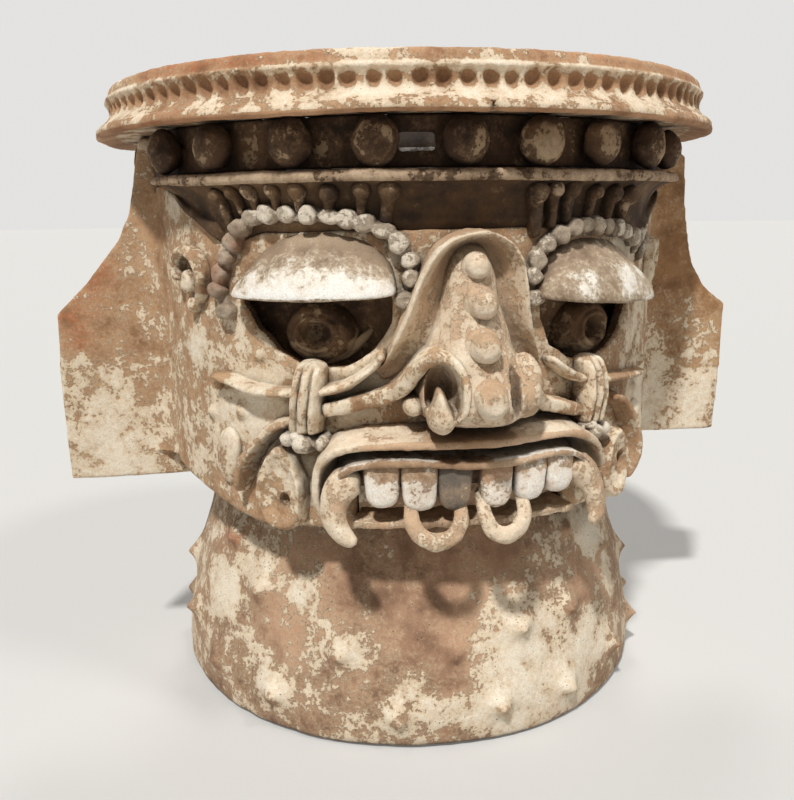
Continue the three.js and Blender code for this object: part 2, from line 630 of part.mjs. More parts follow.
// Pieces of the face, the uppermost first: each one is trimmed to clear those before it
const skin = { stucco: 0xe6d3b4, pale: 0xd9c09c, buff: 0xc49a72, brown: 0xa87b55 };
const pieces = [];
const faceSolids = [];
function piece(name, make, colour, over = faceSolids) {
  let body = make(0);
  const box = body.boundingBox();
  for (const other of over) {
    const near = [0, 1, 2].every((k) => (
      box.min[k] < other.box.max[k] + 1 && box.max[k] > other.box.min[k] - 1));
    if (near) body = body.subtract(other.grown);
  }
  body = largest(body);
  over.push({ box, grown: make(SEAM) });
  pieces.push({ name, body, colour });
}
const plain = (name, body, colour) => pieces.push({ name, body, colour });

plain('pedestal', pedestal(), skin.buff);
plain('fire_bowl', bowl(), skin.brown);
plain('ball_collar', ballCollar(), skin.brown);
plain('rim_flange', rimFlange(), skin.pale);
plain('impressed_rim_band', impressedBand(), skin.pale);
plain('wing_left', wing('left'), skin.pale);
plain('wing_right', wing('right'), skin.buff);
plain('face_mask', faceMask(), skin.buff);
piece('visor', visor, skin.buff);

const straps = {
  left: [[-27.9, 503, 0.92, 0.34], [-28.2, 482, 0.97, 0.91], [-28.7, 460, 1, 1], [-29.1, 438, 1.03, 0.86],
    [-29.3, 417, 1.08, 0.69]],
  right: [[26.2, 497, 0.86, 0.34], [26.3, 478, 0.92, 0.89], [26.3, 458, 0.95, 0.97],
    [26.2, 436, 0.97, 0.83], [26.1, 416, 1.03, 0.69]],
};
for (const side of ['left', 'right']) {
  const [angle, z] = straps[side].at(-1);
  const knot = [[angle - 4, z - 8, 0.54, 0.63], [angle, z - 11, 0.76, 0.91],
    [angle + 4, z - 8, 0.54, 0.63]];
  const size = { width: STRAP_WIDTH, proud: STRAP_PROUD };
  piece(`strap_knot_${side}`, roll(knot, { ...size, steps: 6 }), skin.stucco);
  piece(`strap_${side}`, roll(straps[side], { ...size, section: CORDS, steps: 5 }), skin.stucco);
}

[[613, 0.79], [570, 0.84], [528, 0.9], [474, 1]].forEach(([z, share], i) => {
  const size = share * NUB_SIZE;
  piece(`nose_nub_${i + 1}`, lump(SNOUT_MIDDLE, z, size, size, NUB_PROUD + 4,
    { base: MASK_RADIUS + snoutReach(z) - 4, sides: 10 }), skin.buff);
});
piece('nose', nose, skin.pale);
for (const [side, hand] of [['left', -1], ['right', 1]]) {
  const angle = SNOUT_MIDDLE + hand * 0.98 * NOSE_HALF_WIDTH / MASK_RADIUS * 180 / Math.PI;
  piece(`nostril_ball_${side}`, lump(angle, 458, 0.41 * NOSE_HALF_WIDTH, 0.47 * NOSE_HALF_WIDTH,
    0.47 * NOSE_REACH, { sides: 9 }), skin.buff);
}
const whisker = { width: MOUSTACHE_WIDTH, proud: MOUSTACHE_PROUD, steps: 10 };
piece('moustache_left', roll([[-26, 448, 0.9, 0.31], [-21.5, 457, 1, 0.38], [-16.8, 468, 1, 0.48],
  [-13, 488, 1, 0.69], [-9.6, 505, 0.9, 0.9], [-6, 512, 0.7, 1]], whisker), skin.pale);
piece('moustache_right', roll([[24.8, 430, 0.9, 0.31], [19, 443, 1, 0.38], [14.6, 450, 1, 0.48],
  [11.6, 464, 0.9, 0.62], [10.2, 488, 0.8, 0.76]], whisker), skin.pale);
piece('nose_frame', roll([[-14, 515, 0.7, 0.6], [-11, 539, 0.9, 0.78], [-8.6, 567, 1, 0.9],
  [-6.9, 596, 1, 0.97], [-4.8, 620, 0.9, 1], [-1.8, 633, 0.8, 1], [2, 636, 0.8, 1], [5.2, 631, 0.85, 1],
  [7.6, 617, 0.95, 1], [8.6, 596, 1, 0.97], [9, 570, 1, 0.9], [10.7, 540, 0.9, 0.8], [14, 509, 0.7, 0.65]],
{ width: FRAME_WIDTH, proud: FRAME_PROUD, section: CRESTED, steps: 18 }), skin.buff);
const bar = { width: BAR_WIDTH, proud: BAR_PROUD, steps: 14 };
piece('goggle_bar_left', roll([[-50.3, 474, 0.6, 0.55], [-43.3, 466, 0.9, 0.82], [-38, 464, 1, 0.9],
  [-31, 467, 1, 0.9], [-24.3, 471, 1, 1], [-20.4, 480, 1, 1.09], [-17, 496, 0.94, 1.09],
  [-15.2, 509, 0.83, 1]], bar), skin.pale);
piece('goggle_bar_right', roll([[48.6, 459, 0.6, 0.55], [42, 461, 0.8, 0.73], [35, 464, 0.9, 0.82],
  [27, 468, 1, 0.9], [22, 477, 1, 1], [17.8, 493, 0.9, 1.09]], bar), skin.pale);
piece('eyelid_left', eyelid({ outer: [-43.6, 577], inner: [-12.2, 583] }), skin.stucco);
piece('eyelid_right', eyelid({ outer: [46.4, 562], inner: [13.6, 573] }), skin.stucco);
piece('bead_arc_left', beadArc([[-46.9, 552], [-48.6, 585], [-46, 620], [-39.4, 662], [-27.3, 667],
  [-18, 657], [-12.2, 640], [-9.9, 608], [-10.9, 570]], 18), skin.pale);
piece('bead_arc_right', beadArc([[13.2, 570], [12.6, 600], [15.4, 630], [21.5, 648], [30.4, 648],
  [37, 643], [42.5, 628]], 12), skin.pale);
piece('ray_fan_left', rayFan([[-47, 668], [-41, 681], [-34, 685], [-22, 683], [-15, 679], [-11, 668]], 8),
  skin.brown);
piece('ray_fan_right', rayFan([[12.5, 660], [17, 672], [24, 674], [32, 673], [40, 664]], 6), skin.brown);

const lip = { width: LIP_WIDTH, proud: LIP_PROUD, section: SLAB, base: MASK_RADIUS + 2 * SEAM };
piece('outer_lip', roll([[-25.6, 326, 0.88, 0.6], [-26, 358, 0.94, 0.72], [-25.2, 384, 0.94, 0.8],
  [-22.6, 401, 1, 0.88], [-18.6, 411, 1, 0.92], [-11, 415, 1, 0.96], [-3, 414, 1, 1], [4, 414, 1, 1],
  [12, 416, 1, 0.96], [18.6, 412, 1, 0.92], [22.8, 400, 1, 0.88], [25.6, 384, 0.94, 0.8],
  [27, 362, 0.88, 0.68]], { ...lip, steps: 20 }), skin.pale);
piece('inner_lip', roll([[-22, 368, 0.82, 0.92], [-20.6, 384, 0.88, 0.92], [-17.2, 394, 0.88, 0.92],
  [-9, 395, 0.88, 0.96], [-0.6, 389, 0.88, 0.96], [8, 391, 0.88, 0.96], [15, 395, 0.88, 0.92],
  [19.4, 388, 0.88, 0.92], [22.4, 370, 0.82, 0.88]], { ...lip, steps: 16 }), skin.stucco);
[[-15.1, 0.95, 346], [-8.9, 1, 343], [-2.8, 0.93, 341], [4, 0.9, 341], [10.3, 0.98, 345],
  [16.1, 0.88, 349]].forEach(([angle, share, low], i) => {
  piece(`tooth_${i + 1}`, tooth(angle, share, low), skin.stucco);
});
const fang = { width: FANG_WIDTH, proud: FANG_WIDTH, section: ROD, steps: 9 };
piece('fang_left', roll([[-20, 374, 0.9, 0.8, LIP_PROUD - 20], [-21.4, 357, 1, 0.9, LIP_PROUD - 16],
  [-22.3, 340, 0.9, 0.85, LIP_PROUD - 12], [-22, 325, 0.76, 0.73, LIP_PROUD - 8],
  [-20.8, 312, 0.55, 0.55, LIP_PROUD - 4], [-18.8, 302, 0.24, 0.24, LIP_PROUD]], fang), skin.stucco);
piece('fang_right', roll([[19.8, 372, 0.9, 0.8, LIP_PROUD - 20], [22, 353, 0.97, 0.9, LIP_PROUD - 16],
  [23.6, 336, 0.85, 0.8, LIP_PROUD - 12], [24, 320, 0.7, 0.67, LIP_PROUD - 8],
  [23.4, 308, 0.48, 0.48, LIP_PROUD - 4], [22.2, 298, 0.24, 0.24, LIP_PROUD]], fang), skin.stucco);
// U-shaped ring of the tongue, hung from behind the teeth
const tongueRing = (middle, low) => roll(
  [[-4.4, 56, 0.83, 0.78, -16], [-4.5, 30, 0.94, 0.83, -10], [-3, 9, 1, 0.89, -4], [0, 0, 1, 0.89, -2],
    [3, 9, 1, 0.89, -4], [4.5, 30, 0.94, 0.83, -10], [4.4, 56, 0.83, 0.78, -16]]
    .map(([a, z, w, t, back]) => [middle + a, low + z, w, t, LIP_PROUD + back]),
  { width: RING_WIDTH, proud: RING_WIDTH, section: ROD, steps: 9 });
piece('tongue_ring_left', tongueRing(-6.3, 303), skin.pale);
piece('tongue_ring_right', tongueRing(5.6, 306), skin.pale);
piece('mouth_ledge', () => sector(-20.2, 21.2, 12, () => [
  [MASK_RADIUS - MASK_THICKNESS, up(310)], [MASK_RADIUS + LIP_PROUD / 2 - 1, up(312)],
  [MASK_RADIUS + LIP_PROUD / 2, up(320)], [MASK_RADIUS - MASK_THICKNESS, up(324)]]), skin.buff);
piece('ear_disc_left', lump(-34.2, 346, 0.64 * DISC_HEIGHT, DISC_HEIGHT, DISC_PROUD, { sides: 12 }),
  skin.pale);
piece('ear_disc_right', lump(34, 352, 0.54 * DISC_HEIGHT, 0.92 * DISC_HEIGHT, DISC_PROUD, { sides: 12 }),
  skin.pale);
const curl = { width: CURL_WIDTH, proud: CURL_PROUD, steps: 9 };
piece('cheek_curl_left', roll([[-31.6, 428, 0.7, 0.62], [-35.4, 408, 0.9, 0.92], [-39.2, 386, 1, 1],
  [-41.9, 360, 1, 1], [-43.6, 336, 0.8, 0.77]], curl), skin.buff);
piece('cheek_curl_right', roll([[34, 440, 0.7, 0.54], [39.4, 412, 0.9, 0.92], [42.2, 382, 1, 1],
  [42.6, 352, 1, 1], [40.6, 326, 0.8, 0.77]], curl), skin.buff);
for (const [side, angle, z] of [['left', -48.6, 378], ['right', 48.4, 384]]) {
  piece(`cheek_plaque_${side}`, lump(angle, z, 0.38 * DISC_HEIGHT, 0.78 * DISC_HEIGHT, 0.46 * DISC_PROUD,
    { sides: 12 }), skin.stucco);
}
for (const [side, hand] of [['left', -1], ['right', 1]]) {
  piece(`ear_hook_${side}`, roll([[56, 566, 0.87, 0.6], [53.4, 584, 0.93, 0.8], [53.4, 610, 0.93, 0.9],
    [57, 627, 1, 1], [61.6, 618, 0.93, 1], [62.8, 597, 0.87, 0.9], [60.4, 580, 0.73, 0.8]]
    .map(([a, ...rest]) => [hand * a, ...rest]), { width: HOOK_WIDTH, proud: HOOK_PROUD }), skin.pale);
}
for (const [side, angle, z] of [['left', -27.6, 527], ['right', 29.6, 522]]) {
  const mask = pieces.find(({ name }) => name === 'face_mask').body;
  let eye = eyeball(angle, z)(0).subtract(vesselCore());
  for (const way of [[SEAM, 0, 0], [-SEAM, 0, 0], [0, SEAM, 0], [0, 0, SEAM], [0, 0, -SEAM]]) {
    eye = eye.subtract(mask.translate(way));
  }
  plain(`eyeball_${side}`, largest(eye), skin.brown);
}

// Stand the footprint's middle on the origin
const span = new THREE.Box3();
for (const { body } of pieces) {
  const { min, max } = body.boundingBox();
  span.expandByPoint(new THREE.Vector3(...min)).expandByPoint(new THREE.Vector3(...max));
}
const shift = [-(span.min.x + span.max.x) / 2, -(span.min.y + span.max.y) / 2, -span.min.z];

const group = new THREE.Group();
group.name = 'effigy_brazier';
for (const { name, body, colour } of pieces) {
  const mesh = body.translate(shift).getMesh();
  const geometry = new THREE.BufferGeometry();
  const positions = new Float32Array(mesh.numVert * 3);
  for (let i = 0; i < mesh.numVert; i++) {
    for (let k = 0; k < 3; k++) positions[3 * i + k] = mesh.vertProperties[i * mesh.numProp + k];
  }
  geometry.setAttribute('position', new THREE.BufferAttribute(positions, 3));
  geometry.setIndex(Array.from(mesh.triVerts));
  geometry.computeVertexNormals();
  const clay = new THREE.MeshStandardMaterial({ color: colour, roughness: 0.85, metalness: 0 });
  const node = new THREE.Mesh(geometry, clay);
  node.name = name;
  group.add(node);
}

export default group;
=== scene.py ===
# %% [markdown]
# # A ceramic effigy brazier
#
# The real object is built by hand from coarse red-brown clay: a flared foot, a round fire bowl, a rim on a
# collar of clay balls, and a goggle-eyed, fanged face laid on the front in rolls, pellets and slabs.
# After firing it was coated with lime stucco, which has flaked off in patches and left the clay bare.
# Everything is shaped here in millimetres round the vessel's own upright axis and turned to metres at the
# end, because a potter works round that axis too: an angle, a height and a distance name any spot.

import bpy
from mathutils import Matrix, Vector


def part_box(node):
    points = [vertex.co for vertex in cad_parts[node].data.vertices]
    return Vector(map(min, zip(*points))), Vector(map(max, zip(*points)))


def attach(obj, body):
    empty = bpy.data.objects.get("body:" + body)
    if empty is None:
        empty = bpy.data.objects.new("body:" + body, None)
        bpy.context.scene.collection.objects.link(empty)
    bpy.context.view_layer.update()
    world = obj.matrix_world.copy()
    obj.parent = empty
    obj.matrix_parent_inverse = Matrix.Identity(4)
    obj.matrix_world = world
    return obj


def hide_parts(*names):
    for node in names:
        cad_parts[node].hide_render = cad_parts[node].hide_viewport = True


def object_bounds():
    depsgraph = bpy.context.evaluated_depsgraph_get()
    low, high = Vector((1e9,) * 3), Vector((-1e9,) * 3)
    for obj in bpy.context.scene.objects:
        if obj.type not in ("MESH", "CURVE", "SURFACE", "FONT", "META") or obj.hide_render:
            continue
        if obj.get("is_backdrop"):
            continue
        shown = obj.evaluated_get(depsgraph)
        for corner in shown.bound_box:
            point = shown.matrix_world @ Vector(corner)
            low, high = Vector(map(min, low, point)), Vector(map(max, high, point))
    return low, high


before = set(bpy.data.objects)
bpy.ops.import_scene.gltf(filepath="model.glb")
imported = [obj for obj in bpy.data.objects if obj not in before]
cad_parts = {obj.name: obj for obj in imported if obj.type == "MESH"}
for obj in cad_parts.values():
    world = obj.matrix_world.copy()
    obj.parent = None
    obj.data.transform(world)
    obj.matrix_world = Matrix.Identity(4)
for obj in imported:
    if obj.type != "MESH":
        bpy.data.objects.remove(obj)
cad_low, cad_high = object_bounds()
print("nodes in the frame:", len(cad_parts))

# %% The vessel's axis, and millimetres to metres
import math
import bmesh
import bpy
import numpy as np
from mathutils import Matrix, Vector

MM = 0.001
rim_low, rim_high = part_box("rim_flange")
AXIS = np.array([(rim_low.x + rim_high.x) / 2, (rim_low.y + rim_high.y) / 2, 0.0])
BOX = [(np.array(corner) - AXIS) / MM for corner in (cad_low, cad_high)]
print("axis stands at", AXIS.round(4), "and the box is", (BOX[1] - BOX[0]).round(), "mm")

# %% [markdown]
# ## The camera
#
# The camera was worked out from the ellipses of the rim, the shelf and the foot. It stands a little to the
# left of the face and looks slightly down. A lens is given in millimetres of a sensor whose 36 mm match
# the picture's longer side, so its number is 36 times the focal length in longer sides.

# %% Camera at the photograph's viewing angle
CAMERA_PLACE = (-244.3, -1276.8, 672.5)     # mm from the axis
CAMERA_HEADING = math.radians(10.22)        # from +Y towards +X
CAMERA_DIP = math.radians(12.74)
CAMERA_TILT = math.radians(-0.72)
FOCAL_LENGTH, LONGER_SIDE, SENSOR = 843.2, 800, 36      # pixels, pixels, mm

camera = bpy.data.objects.new("camera", bpy.data.cameras.new("camera"))
bpy.context.scene.collection.objects.link(camera)
bpy.context.scene.camera = camera
camera.data.sensor_width = SENSOR
camera.data.lens = FOCAL_LENGTH / LONGER_SIDE * SENSOR
ahead = Vector((math.sin(CAMERA_HEADING) * math.cos(CAMERA_DIP),
                math.cos(CAMERA_HEADING) * math.cos(CAMERA_DIP), -math.sin(CAMERA_DIP)))
across = ahead.cross(Vector((0, 0, 1))).normalized()
facing = Matrix((across, -ahead.cross(across), -ahead)).transposed().to_4x4()
camera.matrix_world = (Matrix.Translation(Vector(AXIS + np.array(CAMERA_PLACE) * MM)) @ facing
                       @ Matrix.Rotation(CAMERA_TILT, 4, "Z"))
print("camera at", tuple(round(v, 3) for v in camera.location), "lens", round(camera.data.lens, 2))

# %% [markdown]
# ## Working round the axis
#
# Angles are degrees from the middle of the face, plus to the viewer's right. A line drawn through a few
# stations by a Catmull-Rom curve bends as a clay roll does, and costs one short formula.

# %% Points round the axis, and smooth lines through stations
def around(angle, height, radius):
    """Points in mm from angles in degrees, heights and distances from the axis."""
    turn = np.radians(angle)
    return np.stack(np.broadcast_arrays(radius * np.sin(turn), -radius * np.cos(turn),
                                        height + 0.0 * turn), -1)


def through(stations, count, loop=False):
    """Smooth line of count rows through the stations."""
    rows = np.array(stations, float)
    if loop:
        rows = np.vstack([rows[-1], rows, rows[0], rows[1]])
    else:
        rows = np.vstack([2 * rows[0] - rows[1], rows, 2 * rows[-1] - rows[-2]])
    t = np.linspace(0, len(rows) - 3 - 1e-9, count, endpoint=not loop)
    i, f = t.astype(int), (t % 1)[:, None]
    a, b, c, d = (rows[i + k] for k in range(4))
    return 0.5 * (2 * b + (c - a) * f + (2 * a - 5 * b + 4 * c - d) * f**2 + (3 * b - a - 3 * c + d) * f**3)


def radius_of(points):
    """Distance of points from the axis."""
    return np.hypot(points[:, 0], points[:, 1])


def angle_of(points):
    """Angle of points round the axis, in degrees."""
    return np.degrees(np.arctan2(points[:, 0], -points[:, 1]))


def directions(angle):
    """Two unit vectors at an angle: level along the wall, and outward from the axis."""
    c, s = math.cos(math.radians(angle)), math.sin(math.radians(angle))
    return np.array([c, s, 0]), np.array([s, -c, 0])


print("a point on the rim, at the middle of the face:", around(0, 800, 415))

# %% [markdown]
# ## Unevenness
#
# Nothing on a hand-built pot is true. Its errors come in sizes: a wall leans over a hand's width, a thumb
# leaves dips about 15 mm across, and grit stands out at a few millimetres. Random heights on a grid of
# that spacing, joined smoothly, give each size, and a fixed seed gives the same pot on every run.

# %% Random relief of a chosen size
def unevenness(points, size, seed=0):
    """Smooth random relief between -1 and 1, in waves about size mm long."""
    p = points / size + seed * 17.31
    cell = np.floor(p).astype(np.int64)
    f = p - cell
    f = f * f * (3 - 2 * f)
    total = 0
    for number in range(8):
        step = np.array([number & 1, number >> 1 & 1, number >> 2])     # to one corner of the cell
        c = cell + step
        mixed = c[:, 0] * 374761 + c[:, 1] * 668265 + c[:, 2] * 974711 + seed * 7919
        mixed = (mixed ^ (mixed >> 7)) * 1274127 & 0x7fffffff
        mixed = (mixed ^ (mixed >> 11)) * 668279 & 0x7fffffff
        value = (mixed >> 8 & 0xffff) / 32767.5 - 1
        total = total + value * np.prod(np.where(step, f, 1 - f), axis=1)
    return total


print("relief at three points:", unevenness(np.array([[0, 0, 0], [9, 0, 0], [0, 50, 7.0]]), 12).round(2))

# %% [markdown]
# ## Skins and kneading
#
# Each piece is a closed skin over rows of rings, like a stocking over hoops. Kneading rebuilds that skin in
# even small cells (a voxel remesh) and smooths it, so cut edges round off and joined lumps run into each
# other as wet clay does.

# %% Skin over rings, and several skins as one
def skin(rings, loop=False):
    """Points and faces of a closed skin over rings (rows, points, 3); loop joins last row to first."""
    n, m = rings.shape[:2]
    row, spot = np.meshgrid(np.arange(n if loop else n - 1), np.arange(m), indexing="ij")
    row_after, spot_after = (row + 1) % n, (spot + 1) % m
    faces = np.stack([row * m + spot, row * m + spot_after, row_after * m + spot_after,
                      row_after * m + spot], -1).reshape(-1, 4).tolist()
    points = rings.reshape(-1, 3)
    if not loop:
        points = np.vstack([points, rings[0].mean(0), rings[-1].mean(0)])
        last = (n - 1) * m
        faces += [(n * m, (q + 1) % m, q) for q in range(m)]
        faces += [(n * m + 1, last + q, last + (q + 1) % m) for q in range(m)]
    return points, faces


def turned(outline, sides):
    """Skin of a closed outline of (distance from the axis, height) turned once round."""
    turn = np.linspace(0, 360, sides, endpoint=False)
    return skin(around(turn[:, None], outline[None, :, 1], outline[None, :, 0]), loop=True)


def together(skins):
    """Several skins as one list of points and one of faces."""
    points, faces, start = [], [], 0
    for p, f in skins:
        points.append(p)
        faces += [tuple(start + v for v in face) for face in f]
        start += len(p)
    return np.vstack(points), faces


hoop = np.array([(100, 0), (110, 0), (110, 20), (100, 20)], float)
print("a hoop of 60 sides has a skin of", len(turned(hoop, 60)[1]), "faces")


# %% Kneading: even cells, then smoothing
SOFTEN = 0.5            # how far one round of smoothing moves a point towards its neighbours


def knead(piece, cell, rounds):
    """Rebuilds the skin in cells of that many mm and smooths it that many times."""
    fused = piece.modifiers.new("fused", "REMESH")
    fused.mode, fused.voxel_size, fused.use_smooth_shade = "VOXEL", cell, True
    soft = piece.modifiers.new("soft", "SMOOTH")
    soft.factor, soft.iterations = SOFTEN, rounds
    depsgraph = bpy.context.evaluated_depsgraph_get()
    done = bpy.data.meshes.new_from_object(piece.evaluated_get(depsgraph))
    piece.modifiers.clear()
    piece.data = done


print("kneading moves a point", SOFTEN, "of the way in each round")

# %% [markdown]
# ## One function finishes every piece
#
# It makes the mesh, kneads it if asked, presses the unevenness in along the surface's own direction, and
# stores where the stucco has worn off (worn) and where the clay fired orange-red (red) on its points, so
# that the materials can read them. On a few pieces worn also gives painted light and shade, as lime on lit
# faces and bare clay where shade falls.

# %% Make one piece
SEED = {"next": 1}


def make(name, skins, finish, rough, cell=0, rounds=5, worn=0.5, red=0.0, shape=None):
    """Clay piece from skins in mm.

    rough lists (size, depth) of its unevenness. A cell of more than 0 mm kneads it, for that many
    rounds. shape moves its points, and worn and red are numbers or functions of them.
    """
    points, faces = together(skins)
    mesh = bpy.data.meshes.new(name)
    mesh.from_pydata(points.tolist(), [], faces)
    bm = bmesh.new()
    bm.from_mesh(mesh)
    bmesh.ops.recalc_face_normals(bm, faces=bm.faces)
    bm.to_mesh(mesh)
    bm.free()
    piece = bpy.data.objects.new(name, mesh)
    bpy.context.scene.collection.objects.link(piece)
    if cell:
        knead(piece, cell, rounds)
    mesh = piece.data
    mesh.name = name
    mesh.polygons.foreach_set("use_smooth", np.ones(len(mesh.polygons), bool))
    flat = np.empty(len(mesh.vertices) * 3, np.float32)
    mesh.vertices.foreach_get("co", flat)
    place = flat.reshape(-1, 3).astype(float)
    if shape:
        place = shape(place)
        mesh.vertices.foreach_set("co", place.astype(np.float32).ravel())
        mesh.update()
    mesh.vertex_normals.foreach_get("vector", flat)
    outward = flat.reshape(-1, 3).astype(float)
    SEED["next"] += 3
    for k, (size, depth) in enumerate(rough):
        place = place + outward * (depth * unevenness(place, size, SEED["next"] + k))[:, None]
    place = np.clip(place, BOX[0], BOX[1])
    for label, value in (("worn", worn), ("red", red)):
        store = mesh.attributes.new(label, "FLOAT", "POINT")
        amount = value(place) if callable(value) else np.full(len(place), float(value))
        store.data.foreach_set("value", amount.astype(np.float32))
    mesh.vertices.foreach_set("co", (place * MM + AXIS).astype(np.float32).ravel())
    mesh.update()
    mesh.materials.clear()
    mesh.materials.append(finish)
    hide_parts(name)
    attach(piece, "root")
    print(f"{name}: {len(mesh.polygons)} faces")
    return piece


def near(points, spots):
    """How near points are to any spot (angle, height, radius, size in mm): 1 inside, 0 well outside."""
    best = np.zeros(len(points))
    for angle, height, radius, size in spots:
        gap = np.linalg.norm(points - around(angle, height, radius), axis=1)
        best = np.maximum(best, np.clip(1.6 - gap / size, 0, 1))
    return best


# %% [markdown]
# ## Fired clay under flaking lime
#
# Low-fired clay is matt, with brown, buff and orange clouds from the bonfire and dark grit. Lime stucco is
# a white plaster less than a millimetre thick that lets go in ragged flakes. One function makes every
# finish: noise of four real sizes decides where the lime still holds, and its edge is a true step in the
# bump, so that it catches the light. Colours are sRGB hex values, turned to linear in one place.

# %% Colours, and one function that adds a node
def linear(code):
    """Linear colour with alpha from an sRGB hex code."""
    parts = [int(code[i:i + 2], 16) / 255 for i in (1, 3, 5)]
    return (*[c / 12.92 if c <= 0.04045 else ((c + 0.055) / 1.055) ** 2.4 for c in parts], 1.0)


def add_node(tree, kind, inputs=None, **settings):
    """Adds a node with its settings; inputs are numbers, colours or the sockets that feed them."""
    node = tree.nodes.new(kind)
    for label, value in settings.items():
        setattr(node, label, value)
    for label, value in (inputs or {}).items():
        if isinstance(value, bpy.types.NodeSocket):
            tree.links.new(value, node.inputs[label])
        else:
            node.inputs[label].default_value = value
    return node


# %% Patterns of real sizes, and where the lime still holds
PATTERNS = {"cloud": (130, 3, 0.55), "mottle": (34, 5, 0.62), "flake": (15, 9, 0.68),
            "fleck": (4.5, 4, 0.6), "grit": (1.7, 2, 0.6)}      # mm across, detail, roughness
print("patterns of the clay and the lime:", ", ".join(f"{k} {v[0]} mm" for k, v in PATTERNS.items()))


def lime_left(tree, relief, cover, ragged, wash, soft):
    """Where lime is sound, where it is a rubbed film, and where it is thick: three shares."""
    worn = add_node(tree, "ShaderNodeAttribute", attribute_name="worn").outputs["Fac"]
    hold, middle = cover, 0.5
    for feed, weight in ((relief["cloud"], 1.4), (relief["mottle"], 1.4 * ragged),
                         (relief["flake"], 2.1 * ragged), (relief["fleck"], 0.9), (worn, -1.25)):
        hold = add_node(tree, "ShaderNodeMath", {0: feed, 1: weight, 2: hold},
                        operation="MULTIPLY_ADD").outputs[0]
        middle += weight * 0.5          # a pattern's own middle, and that of the wear
    return [add_node(tree, "ShaderNodeMapRange", {
        "Value": hold, "From Min": middle + first, "From Max": middle + last, "To Max": top}).outputs[0]
        for first, last, top in ((-soft, soft, 1.0), (-0.5, 0.0, wash), (0.0, 0.6, 1.0))]


# %% Fired clay with lime stucco
PIT_SPACING, CREVICE, LIME_THICK = 5.5, 26, 0.7     # mm
# The last colour darkens crevices found by ambient occlusion: soot, and painted shade
FIRED_RED, PIT, SOOT_AND_SHADE = "#bb6b42", "#4b3a2a", "#2a1c11"


def limed_clay(name, clay, lime, cover, grime_and_shade=0.8, ragged=1.0, speck=0.5, wash=0.7, soft=0.03):
    """Clay from dark to light, lime from stained to white; cover 0 is bare, 1 is coated."""
    material = bpy.data.materials.new(name)
    material.use_nodes = True
    tree = material.node_tree
    place = add_node(tree, "ShaderNodeTexCoord").outputs["Object"]
    relief = {label: add_node(tree, "ShaderNodeTexNoise", {
        "Vector": place, "Scale": 1 / (size * MM), "Detail": detail, "Roughness": rough}).outputs["Fac"]
        for label, (size, detail, rough) in PATTERNS.items()}
    red = add_node(tree, "ShaderNodeAttribute", attribute_name="red").outputs["Fac"]
    pits = add_node(tree, "ShaderNodeTexVoronoi", {"Vector": place, "Scale": 1 / (PIT_SPACING * MM)})
    # Ambient occlusion finds the crevices, which are darkened: soot, and painted shade
    occlusion_shade = add_node(tree, "ShaderNodeAmbientOcclusion", {"Distance": CREVICE * MM}, samples=6)
    coat, film, thick = lime_left(tree, relief, cover, ragged, wash, soft)
    # How much there is of each thing: what it follows, that pattern's range, and the shares it gives
    share = {label: add_node(tree, "ShaderNodeMapRange", {
        "Value": feed, "From Min": first, "From Max": last, "To Min": low, "To Max": high}).outputs[0]
        for label, feed, first, last, low, high in (
            ("buff", relief["mottle"], 0.34, 0.58, 0, 1), ("pale", relief["cloud"], 0.47, 0.64, 0, 1),
            ("red", relief["flake"], 0.42, 0.6, 0, 0.75), ("film", relief["fleck"], 0.38, 0.6, 0.35, 1),
            ("clean", relief["mottle"], 0.36, 0.56, 0, 1), ("grain", relief["grit"], 0.3, 0.62, 0.84, 1.05),
            ("pits", pits.outputs["Distance"], 0.2, 0.12, 0, 1),
            ("often", relief["flake"], 0.5, 0.58, 0, speck),
            ("soot_and_shade", occlusion_shade.outputs["AO"], 0.72, 0.2, 0, grime_and_shade), ("matt", coat, 0, 1, 0.82, 0.93))}
    for label, other in (("red", red), ("film", film), ("pits", share["often"])):
        share[label] = add_node(tree, "ShaderNodeMath", {0: share[label], 1: other},
                                operation="MULTIPLY", use_clamp=True).outputs[0]
    plaster = linear(lime[0])
    for part, tone in ((share["clean"], lime[1]), (thick, lime[2])):
        plaster = add_node(tree, "ShaderNodeMix", {0: part, 6: plaster, 7: linear(tone)},
                           data_type="RGBA").outputs[2]
    # Clay that fired in clouds, lime rubbed to a film, sound lime, grit, pits, and soot with painted shade
    # in crevices
    colour = linear(clay[0])
    for part, tone in ((share["buff"], linear(clay[1])), (share["pale"], linear(clay[2])),
                       (share["red"], linear(FIRED_RED)), (share["film"], linear(lime[0])),
                       (coat, plaster), (1.0, share["grain"]), (share["pits"], linear(PIT)),
                       (share["soot_and_shade"], linear(SOOT_AND_SHADE))):
        blend = "MULTIPLY" if tone is share["grain"] else "MIX"
        colour = add_node(tree, "ShaderNodeMix", {0: part, 6: colour, 7: tone}, data_type="RGBA",
                          blend_type=blend).outputs[2]
    # Heights in millimetres: the lime's edge, the clay's dents and its grit
    height = 0.0
    for feed, depth in ((coat, LIME_THICK), (relief["mottle"], 1.4), (relief["flake"], 1.5),
                        (relief["fleck"], 0.6), (relief["grit"], 0.2)):
        height = add_node(tree, "ShaderNodeMath", {0: feed, 1: depth, 2: height},
                          operation="MULTIPLY_ADD").outputs[0]
    bump = add_node(tree, "ShaderNodeBump", {"Height": height, "Distance": MM, "Strength": 1.0})
    surface = tree.nodes["Principled BSDF"]
    for label, feed in (("Base Color", colour), ("Roughness", share["matt"]), ("Normal", bump.outputs[0])):
        tree.links.new(feed, surface.inputs[label])
    surface.inputs["IOR"].default_value = 1.5               # usual for fired clay and for lime
    surface.inputs["Specular IOR Level"].default_value = 0.35
    print("finish:", name)
    return material
